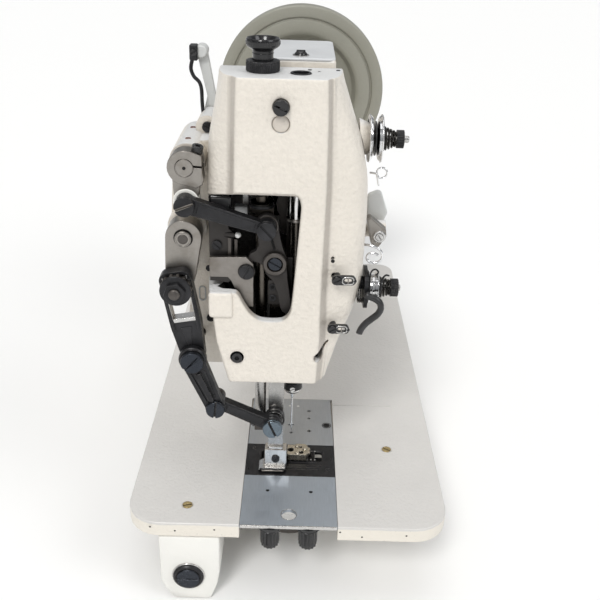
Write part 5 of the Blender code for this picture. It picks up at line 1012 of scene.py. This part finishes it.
# ---- plates ------------------------------------------------------------------------------------
for nm, px, py, rl in (("l", -34.6, 49.2, 20), ("r", 33.7, 48.6, -15)):
    turn("needle_plate_seat_" + nm, [(3.3, -0.5), (4.4, 0.02), (4.5, 0.1), (4.2, 0.12), (3.3, -0.1)], (px, py, 0.0), UP, "black", "frame", 36)
    slotted("needle_plate_screw_" + nm, (px, py, -1.2), UP, 3.3, 1.4, "black", "frame", roll=rl)
for i, (px, py) in enumerate(((17, 72), (17, 59.5), (17, 39))):
    ring("needle_plate_tap_%d" % i, (px, py, 0.0), UP, 1.75, 0.28, "bright", "frame", 28, 6)
    # near-black floor: painted shade inside the tapped hole
    turn("needle_plate_tap_floor_%d" % i, [(0, 0), (1.6, 0), (1.6, 0.4), (0, 0.4)], (px, py, -1.6), UP, "hole", "frame", 20)
plate("plate_slot_a", rrect(-3.4, -0.9, 79.2, 81.4, 1.0, 4), "XY", -0.6, 0.12, "ivory", "frame", bev=0.1)
plate("plate_slot_b", rrect(4.9, 7.4, 79.0, 81.2, 1.0, 4), "XY", -0.6, 0.12, "ivory", "frame", bev=0.1)
ring("needle_hole_lip", (0, 36.0, 0.0), UP, 1.5, 0.25, "bright", "frame", 28, 6)
for nm, px, py, rl in (("l", -33.6, 11.0, 40), ("r", 33.4, -18.0, -30)):
    slotted("insert_screw_" + nm, (px, py, -0.9), UP, 2.6, 1.0, "gloss", "frame", roll=rl)
plate("feed_slot_frame", rrect(-28.4, 30.4, -9.0, 9.0, 2.6, 5), "XY", -0.4, 0.25, "black", "frame", holes=(rrect(-26.6, 28.6, -7.1, 7.1, 2.0, 5),), bev=0.12)
for i in range(3):
    plate("insert_line_%d" % i, rrect(-29.0 + i * 2, 31.0 - i * 3, -13.0 - i * 3.2, -12.2 - i * 3.2, 0.35, 3), "XY", -0.3, 0.15, "gloss", "frame", bev=0.08)
plate("slide_front_strip", [(-39.4, -91.6), (39.4, -91.6), (39.4, -90.4), (-39.4, -90.4)], "XY", -2.8, 0.1, "bright", "slide", bev=0.25)
ring("slide_finger_lip", (0, -77.3, 0.0), UP, 6.5, 0.3, "bright", "slide", 48, 6)
for nm, px, py in (("l", -18.7, -47.8), ("r", 18.2, -48.5)):
    # near-black disc: painted shade in the slide plate hole
    turn("slide_hole_" + nm, [(0, 0), (1.6, 0), (1.6, 0.3), (0, 0.3)], (px, py, -1.2), UP, "hole", "slide", 20)
for nm, kx, body in (("l", -15.2, "plate_knob_l"), ("r", 16.1, "plate_knob_r")):
    knurled("bolt_grip_" + nm, (kx, -83.0, -8.0), (0, 0, -1), 7.9, 14.5, "plastic", body, 16, 0.12, bore=6.0, bev=0.35)
    ring("bolt_flange_edge_" + nm, (kx, -83.0, -6.2), UP, 9.7, 0.5, "gloss", body, 48, 8)
    turn("bolt_end_" + nm, [(0, 2.4), (3.4, 2.2), (5.0, 0.6), (5.4, 0), (0, 0)], (kx, -83.0, -26.6), (0, 0, -1), "plastic", body, 32)

# near-black sheets under the feed slot: painted shade seen through the slot
rbox("feed_slot_baffle", 11.0, 29.5, -7.6, 7.6, -13.6, -12.9, "hole", "frame", 0.1)
rbox("feed_slot_baffle_right", 22.0, 33.0, -7.6, 10.0, -9.6, -8.8, "hole", "frame", 0.1)
rbox("feed_slot_baffle_left", -28.0, -23.5, -7.6, 9.0, -4.6, -3.8, "hole", "frame", 0.1)

# ---- bed ------------------------------------------------------------------------------------------
for nm, px, py, rl in (("l", -84.3, -69.1, 15), ("r", 88.3, 13.4, -35)):
    ring("bed_screw_recess_" + nm, (px, py, 0.0), UP, 4.7, 0.35, "bed", "frame", 40, 6)
    slotted("bed_screw_" + nm, (px, py, -0.5), UP, 4.2, 1.0, "brass", "frame", roll=rl, w=1.0, bev=0.25)
plate("bed_ridge", [(41.0, 83.0), (98.0, 83.9), (99.0, 84.6), (98.0, 85.2), (41.0, 84.6)], "XY", -0.4, 0.5, "bed", "frame", bev=0.3)
for i, (px, pz) in enumerate(((42.0, -5.0), (60.0, -9.5), (96.0, -7.0), (-60.0, -6.0), (-92.0, -8.0), (-112.0, -4.5))):
    # near-black dots: painted shade of small pits in the bed edge
    turn("bed_edge_pit_%d" % i, [(0, 0.12), (0.5, 0.1), (0.8, 0.0), (0, 0)], (px, -91.05, pz), F, "hole", "frame", 12)

# ---- front bracket ---------------------------------------------------------------------------------
ring("bracket_plug_ring", (-82.4, -91.9, -56.0), F, 13.0, 0.8, "bright", "frame", 56, 8)
slotted("bracket_plug_head", (-82.4, -94.5, -56.0), F, 9.6, 1.6, "blue", "frame", roll=0, w=1.6, bev=0.5)
ring("bracket_plug_groove", (-82.4, -94.6, -56.0), F, 10.6, 0.5, "black", "frame", 48, 8)

# ---- left side ---------------------------------------------------------------------------------------
for nm, px, py in (("a", -84.1, 38.7), ("b", -83.7, 6.1)):
    ring("oil_hole_rim_" + nm, (px, py, 289.3), UP, 1.9, 0.32, "red", "frame", 28, 8)
    # near-black floor: painted shade inside the oil hole
    turn("oil_hole_floor_" + nm, [(0, 0), (1.7, 0), (1.7, 0.4), (0, 0.4)], (px, py, 288.2), UP, "hole", "frame", 16)
rbox("lifter_clip", -87.4, -81.0, 53.5, 62.5, 337.5, 349.6, "black", "lifter", 1.2, 3)
slotted("lifter_clip_screw", (-84.2, 53.6, 344.0), F, 2.8, 1.6, "gloss", "lifter", roll=30)
turn("lifter_head_cap", [(0, 1.4), (4.0, 1.2), (5.1, 0.2), (5.1, 0.0), (0, 0)], (-78.6, 57.6, 344.0), F, "grey", "lifter", 36)
tube("lifter_rod", [(-85.2, 56.0, 339.0), (-86.6, 55.5, 331.5), (-84.4, 55.0, 325.5), (-80.4, 54.6, 321.5), (-78.6, 54.2, 316.0), (-78.2, 53.4, 306.0), (-77.4, 52.6, 297.0), (-75.6, 52.4, 291.6)], 1.5, "black", "lifter", 12, smooth_path=6)
slotted("lifter_pivot_screw", (-72.0, 60.6, 292.0), F, 5.2, 2.6, "black", "lifter", roll=35)
slotted("head_side_screw", (-71.6, 30.0, 292.4), F, 4.2, 2.4, "black", "frame", roll=-20)
slotted("bracket_screw_a", (-69.9, 2.0, 184.6), F, 2.6, 1.6, "black", "frame", roll=40)
slotted("bracket_screw_b", (-70.2, 8.2, 136.1), F, 3.4, 1.6, "black", "frame", roll=10)
plate("rocker_bracket_slot", rrect(-79.6, -73.6, 151.5, 165.0, 2.8, 6), "XZ", 8.2, 9.4, "castgrey", "frame", holes=(rrect(-78.6, -74.6, 152.5, 164.0, 1.8, 6),), bev=0.3)
ring("upper_rock_bush", (-83.0, -8.2, 276.0), F, 8.4, 0.9, "steel", "frame")
ring("lower_rock_bush", (-86.2, 1.8, 219.6), F, 9.4, 1.0, "steel", "frame")

# ---- handwheel ----------------------------------------------------------------------------------------
wp = [(12.4, -12.0), (29.6, -12.0), (30.6, -11.6), (31.0, -10.6), (31.0, 4.0), (32.2, 6.2), (34.6, 7.0), (62.6, 7.0), (65.6, 6.0), (70.2, -2.0), (72.2, -3.4), (74.6, -3.9), (86.6, -3.9), (87.6, -3.5), (88.5, -1.9), (89.4, -1.5), (90.3, -1.9), (91.2, -3.5), (92.2, -3.9),
      (101.4, -3.9), (103.4, -3.3), (104.6, -2.0), (105.0, -0.2), (105.0, 15.4), (104.4, 17.2), (102.6, 18.4), (77.2, 18.4), (75.0, 17.6), (70.6, 13.6), (68.4, 13.0), (30.4, 13.0), (28.6, 13.8), (28.0, 15.4), (28.0, 18.2), (27.2, 19.0), (12.4, 19.0)]
wh = turn("handwheel_disc", [(r, -h) for r, h in wp], (0, 458.0, 231.0), F, "wheel", "drive", 168, angle=24)
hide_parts("handwheel")
turn("wheel_hub_cap", [(12.8, 0), (26.0, 0), (27.0, 1.0), (27.0, 3.0), (12.8, 3.0)], (0, 477.0, 231.0), B, "wheel", "drive", 60)
slotted("wheel_hub_screw", (0, 478.0, 231.0), B, 9.0, 2.0, "steel", "drive", roll=30)
for i in range(3):
    a = math.radians(90 + 120 * i)
    slotted("wheel_face_screw_%d" % i, (20.0 * math.cos(a), 480.0, 231.0 + 20.0 * math.sin(a)), B, 3.4, 1.4, "black", "drive", roll=40 * i)

# ---- right side: tensions --------------------------------------------------------------------------------
ty, tz = 15.0, 291.0
turn("tension_hub_washer", [(2.9, 0), (8.8, 0), (8.8, 1.4), (2.9, 1.4)], (52.6, ty, tz), RT, "black", "frame", 36, bev=0.3)
ring("tension_disc_lip_a", (53.2, ty, tz), RT, 17.7, 0.55, "chrome", "frame", 64, 8)
ring("tension_disc_lip_b", (62.3, ty, tz), RT, 17.7, 0.55, "chrome", "frame", 64, 8)
turn("tension_felt", [(2.9, 0), (13.0, 0), (13.0, 0.9), (2.9, 0.9)], (57.3, ty, tz), RT, "plastic", "frame", 40)
turn("tension_pressure_cup", [(2.9, 0), (10.6, 0), (11.2, 0.8), (10.4, 1.8), (2.9, 1.2)], (61.6, ty, tz), RT, "chrome", "frame", 44)
coil("tension_spring_u_fine", (63.0, ty, tz), RT, 9.6, 4.8, 10.4, 5.4, 0.85, "spring", "frame")
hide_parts("tension_spring_upper")
knurled("tension_nut_u_knurl", (74.0, ty, tz), RT, 6.9, 5.5, "black", "tension_nut_u", 22, 0.09, bore=5.2, bev=0.45)
turn("tension_stud_u", [(0, 0), (2.62, 0), (2.62, 28.2), (2.1, 28.9), (0, 28.9)], (54.7, ty, tz), RT, "bright", "frame", 32)
for i in range(5):
    ring("tension_thread_u_%d" % i, (80.8 + i * 0.55, ty, tz), RT, 2.45, 0.2, "bright", "frame", 24, 6)
by, bz = -5.0, 175.0
knurled("check_spring_drum", (57.6, by, bz), RT, 12.2, 2.2, "black", "frame", 22, 0.14, bore=3.0, bev=0.25)
ring("tension_low_lip_a", (58.6, by, bz), RT, 13.2, 0.45, "chrome", "frame", 56, 8)
ring("tension_low_lip_b", (65.9, by, bz), RT, 13.2, 0.45, "chrome", "frame", 56, 8)
coil("tension_spring_l_fine", (66.0, by, bz), RT, 9.0, 5.2, 10.0, 5.2, 0.85, "spring", "frame")
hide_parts("tension_spring_lower")
knurled("tension_nut_l_knurl", (76.3, by, bz), RT, 7.3, 6.0, "black", "tension_nut_l", 26, 0.08, bore=5.8, bev=0.3)
turn("tension_stud_l", [(0, 0), (2.6, 0), (2.6, 26.2), (2.1, 26.8), (0, 26.8)], (57.6, by, bz), RT, "bright", "frame", 32)
tube("check_spring", [(56.6, -15.0, 166.0), (58.0, -19.0, 172.0), (58.6, -19.4, 181.0), (58.4, -17.0, 189.0), (59.6, -15.0, 193.4), (62.6, -14.0, 194.6), (65.0, -13.6, 192.4), (64.2, -13.4, 190.0)], 0.7, "black", "frame", 10, smooth_path=6)
tube("check_spring_hook", [(66.0, -17.4, 172.0), (67.4, -18.2, 180.0), (68.0, -17.6, 187.0), (70.4, -16.6, 190.8), (73.4, -15.6, 190.2)], 0.75, "black", "frame", 10, smooth_path=6)
for i in range(6):
    tube("check_spring_coil_%d" % i, [(50.8 + i * 1.45, by + 12.6 * math.sin(t), bz - 12.6 * math.cos(t)) for t in [math.radians(a) for a in range(-70, 71, 10)]], 0.6, "spring", "frame", 8)
tube("lower_wire_loop", [(52.0, -6.0, 212.0), (57.0, -9.5, 213.0), (63.0, -11.0, 211.6), (66.8, -11.2, 207.6), (67.2, -11.0, 202.6), (64.0, -10.6, 199.2), (58.6, -10.2, 198.8), (55.6, -9.6, 201.6), (56.6, -9.2, 205.2), (60.6, -9.6, 206.4), (64.4, -10.4, 205.2)], 1.0, "chrome", "frame", 12, smooth_path=7)

# ---- release lever and paddle -------------------------------------------------------------------------------
turn("release_ring", [(3.2, 0), (5.0, 0), (5.3, 0.6), (4.6, 1.6), (3.2, 1.6)], (66.4, 12.0, 212.0), F, "bright", "release", 40)
slotted("release_end_screw", (66.4, 11.0, 212.0), F, 3.0, 1.4, "bright", "release", roll=-60)
plate("release_crank_face", hull([(56.4, 226.0), (58.6, 227.0), (70.6, 217.2), (71.0, 212.4), (66.2, 204.2), (63.2, 203.4), (60.6, 207.4)]), "XZ", 11.4, 12.2, "steel", "release", holes=(circ(66.4, 212.0, 3.3, 24),), bev=0.3)
pd = plate("paddle_blade", hull(circ(61.4, 234.0, 3.9, 24) + circ(65.8, 236.0, 3.8, 24) + circ(70.8, 221.4, 4.0, 24) + circ(66.4, 213.6, 5.4, 24) + circ(61.6, 217.0, 3.6, 24)), "XZ", 41.0, 47.0, "grey", "release", bev=1.4, seg=4)
sh_ = turn("paddle_shaft", [(0, 0), (3.1, 0), (3.1, 40.0), (0, 40.0)], (66.4, 51.0, 212.0), F, "steel", "release", 32)
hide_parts("release_shaft")

# ---- thread guides on the cover ---------------------------------------------------------------------------------
gb = {n: [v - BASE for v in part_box(n)] for n in ("thread_guide_upper", "thread_guide_lower")}
for n, (a, b) in gb.items():
    yf = a.y * 1000.0
    zc = 195.2 if "upper" in n else 153.0
    xa, xb = a.x * 1000.0, b.x * 1000.0
    slotted(n + "_screw", (xa + 4.2, yf, zc), F, 3.3, 1.7, "gloss", "frame", roll=30)
    loop = rrect(xb - 10.4, xb - 1.6, zc - 2.9, zc + 2.9, 2.6, 6)
    tube(n + "_eyelet", [(x, yf - 0.25, z) for x, z in loop], 0.55, "bright", "frame", 8, closed=True)
    rbox(n + "_bar", xb - 6.4, xb - 5.5, yf - 0.5, yf + 0.5, zc - 2.2, zc + 2.2, "steel", "frame", 0.25)
    turn(n + "_stem", [(0, 0), (2.7, 0), (2.7, 12.0), (0, 12.0)], (xa + 4.2, yf + 13.0, zc), F, "black", "frame", 24)
    turn(n + "_rivet", [(0, 1.0), (0.8, 0.9), (1.4, 0.3), (1.4, 0.0), (0, 0)], (xb - 0.9, yf, zc), F, "black", "frame", 18)
# near-black disc: painted shade of a small hole in the cover
turn("cover_small_hole", [(0, 0.15), (1.5, 0.1), (1.5, 0.0), (0, 0)], (27.8, -35.0, 209.8), F, "hole", "frame", 20)

# ------------------------------------------------------------------ stage
def simple_mat(name, rgb, rough):
    m, nt, b = _nodes(name)
    g = G(nt)
    g.link(g.mix(g.noise(1.2, 3.0), [c * 0.992 for c in rgb], rgb), b.inputs["Base Color"])
    b.inputs["Roughness"].default_value = rough
    return m


fm = bpy.data.meshes.new("floor")
fm.from_pydata([(-40, -40, -0.0006), (40, -40, -0.0006), (40, 40, -0.0006), (-40, 40, -0.0006)], [], [(0, 1, 2, 3)])
fm.update()
floor = bpy.data.objects.new("floor", fm)
bpy.context.scene.collection.objects.link(floor)
floor.data.materials.append(simple_mat("floor_pale", (0.93, 0.93, 0.925), 0.75))


def area(name, loc, target, size, power, rgb=(1, 1, 1), size_y=None):
    d = bpy.data.lights.new(name, "AREA")
    d.energy = power
    d.color = rgb
    d.size = size
    if size_y:
        d.shape = "RECTANGLE"
        d.size_y = size_y
    o = bpy.data.objects.new(name, d)
    bpy.context.scene.collection.objects.link(o)
    o.location = loc
    o.rotation_mode = "QUATERNION"
    o.rotation_quaternion = (Vector(target) - Vector(loc)).to_track_quat("-Z", "Y")
    return o


def sun(name, direction, strength, angle, rgb=(1, 1, 1)):
    d = bpy.data.lights.new(name, "SUN")
    d.energy = strength
    d.angle = math.radians(angle)
    d.color = rgb
    o = bpy.data.objects.new(name, d)
    bpy.context.scene.collection.objects.link(o)
    o.rotation_mode = "QUATERNION"
    o.rotation_quaternion = Vector(direction).to_track_quat("-Z", "Y")
    return o


sun("key", (0.30, 0.85, -0.95), 1.55, 18.0, (1.0, 0.99, 0.97))
sun("side", (-0.85, 0.45, -0.75), 0.60, 30.0, (0.98, 0.99, 1.0))
sun("top", (0.05, -0.10, -1.0), 0.55, 40.0)
w = bpy.data.worlds.new("studio")
w.use_nodes = True
wt = w.node_tree
bg = wt.nodes["Background"]
tc = wt.nodes.new("ShaderNodeTexCoord")
sep = wt.nodes.new("ShaderNodeSeparateXYZ")
wt.links.new(tc.outputs["Generated"], sep.inputs[0])
up = wt.nodes.new("ShaderNodeValToRGB")
up.color_ramp.elements[0].position = 0.40
up.color_ramp.elements[0].color = (0.40, 0.41, 0.42, 1)
up.color_ramp.elements[1].position = 0.86
up.color_ramp.elements[1].color = (1.0, 1.0, 1.0, 1)
e = up.color_ramp.elements.new(0.56)
e.color = (0.50, 0.52, 0.54, 1)
mr = wt.nodes.new("ShaderNodeMapRange")
mr.inputs["From Min"].default_value = -1.0
mr.inputs["From Max"].default_value = 1.0
wt.links.new(sep.outputs["Z"], mr.inputs["Value"])
wt.links.new(mr.outputs["Result"], up.inputs["Fac"])
wv = wt.nodes.new("ShaderNodeTexWave")
wv.inputs["Scale"].default_value = 0.75
wv.inputs["Distortion"].default_value = 1.2
wt.links.new(tc.outputs["Generated"], wv.inputs["Vector"])
wr = wt.nodes.new("ShaderNodeMapRange")
wr.inputs["From Min"].default_value = 0.25
wr.inputs["From Max"].default_value = 0.75
wr.inputs["To Min"].default_value = 0.55
wr.inputs["To Max"].default_value = 1.15
wt.links.new(wv.outputs["Fac"], wr.inputs["Value"])
mx = wt.nodes.new("ShaderNodeMix")
mx.data_type = "RGBA"
mx.blend_type = "MULTIPLY"
mx.inputs["Factor"].default_value = 1.0
wt.links.new(up.outputs["Color"], mx.inputs[6])
wt.links.new(wr.outputs["Result"], mx.inputs[7])
wt.links.new(mx.outputs[2], bg.inputs["Color"])
bg.inputs["Strength"].default_value = 0.62
bpy.context.scene.world = w
bpy.context.scene.view_settings.view_transform = "Standard"
bpy.context.scene.view_settings.look = "None"

# ------------------------------------------------------------------ camera
def campose():
    p, y, a = math.radians(26.652920), math.radians(0.343015), math.radians(1.777030)
    X = [1, 0, 0]; Y = [0, -math.sin(p), math.cos(p)]; Z = [0, -math.cos(p), -math.sin(p)]
    X2 = [X[i] * math.cos(y) + Y[i] * math.sin(y) for i in range(3)]
    Y2 = [-X[i] * math.sin(y) + Y[i] * math.cos(y) for i in range(3)]
    def roll(v): return [v[0] * math.cos(a) - v[1] * math.sin(a), v[0] * math.sin(a) + v[1] * math.cos(a), v[2]]
    A = [roll(X2), roll(Y2), roll(Z)]
    r = [A[0][0], A[1][0], A[2][0]]; d = [A[0][1], A[1][1], A[2][1]]; f = [A[0][2], A[1][2], A[2][2]]
    return Matrix(((r[0], -d[0], -f[0], 0.0007), (r[1], -d[1], -f[1], -0.5861), (r[2], -d[2], -f[2], 0.453), (0, 0, 0, 1)))


cd = bpy.data.cameras.new("camera")
cd.lens, cd.sensor_width, cd.clip_start, cd.clip_end = 48.0, 36.0, 0.01, 50.0
cam = bpy.data.objects.new("camera", cd)
bpy.context.scene.collection.objects.link(cam)
cam.matrix_world = Matrix.Translation(BASE) @ campose()
bpy.context.scene.camera = cam
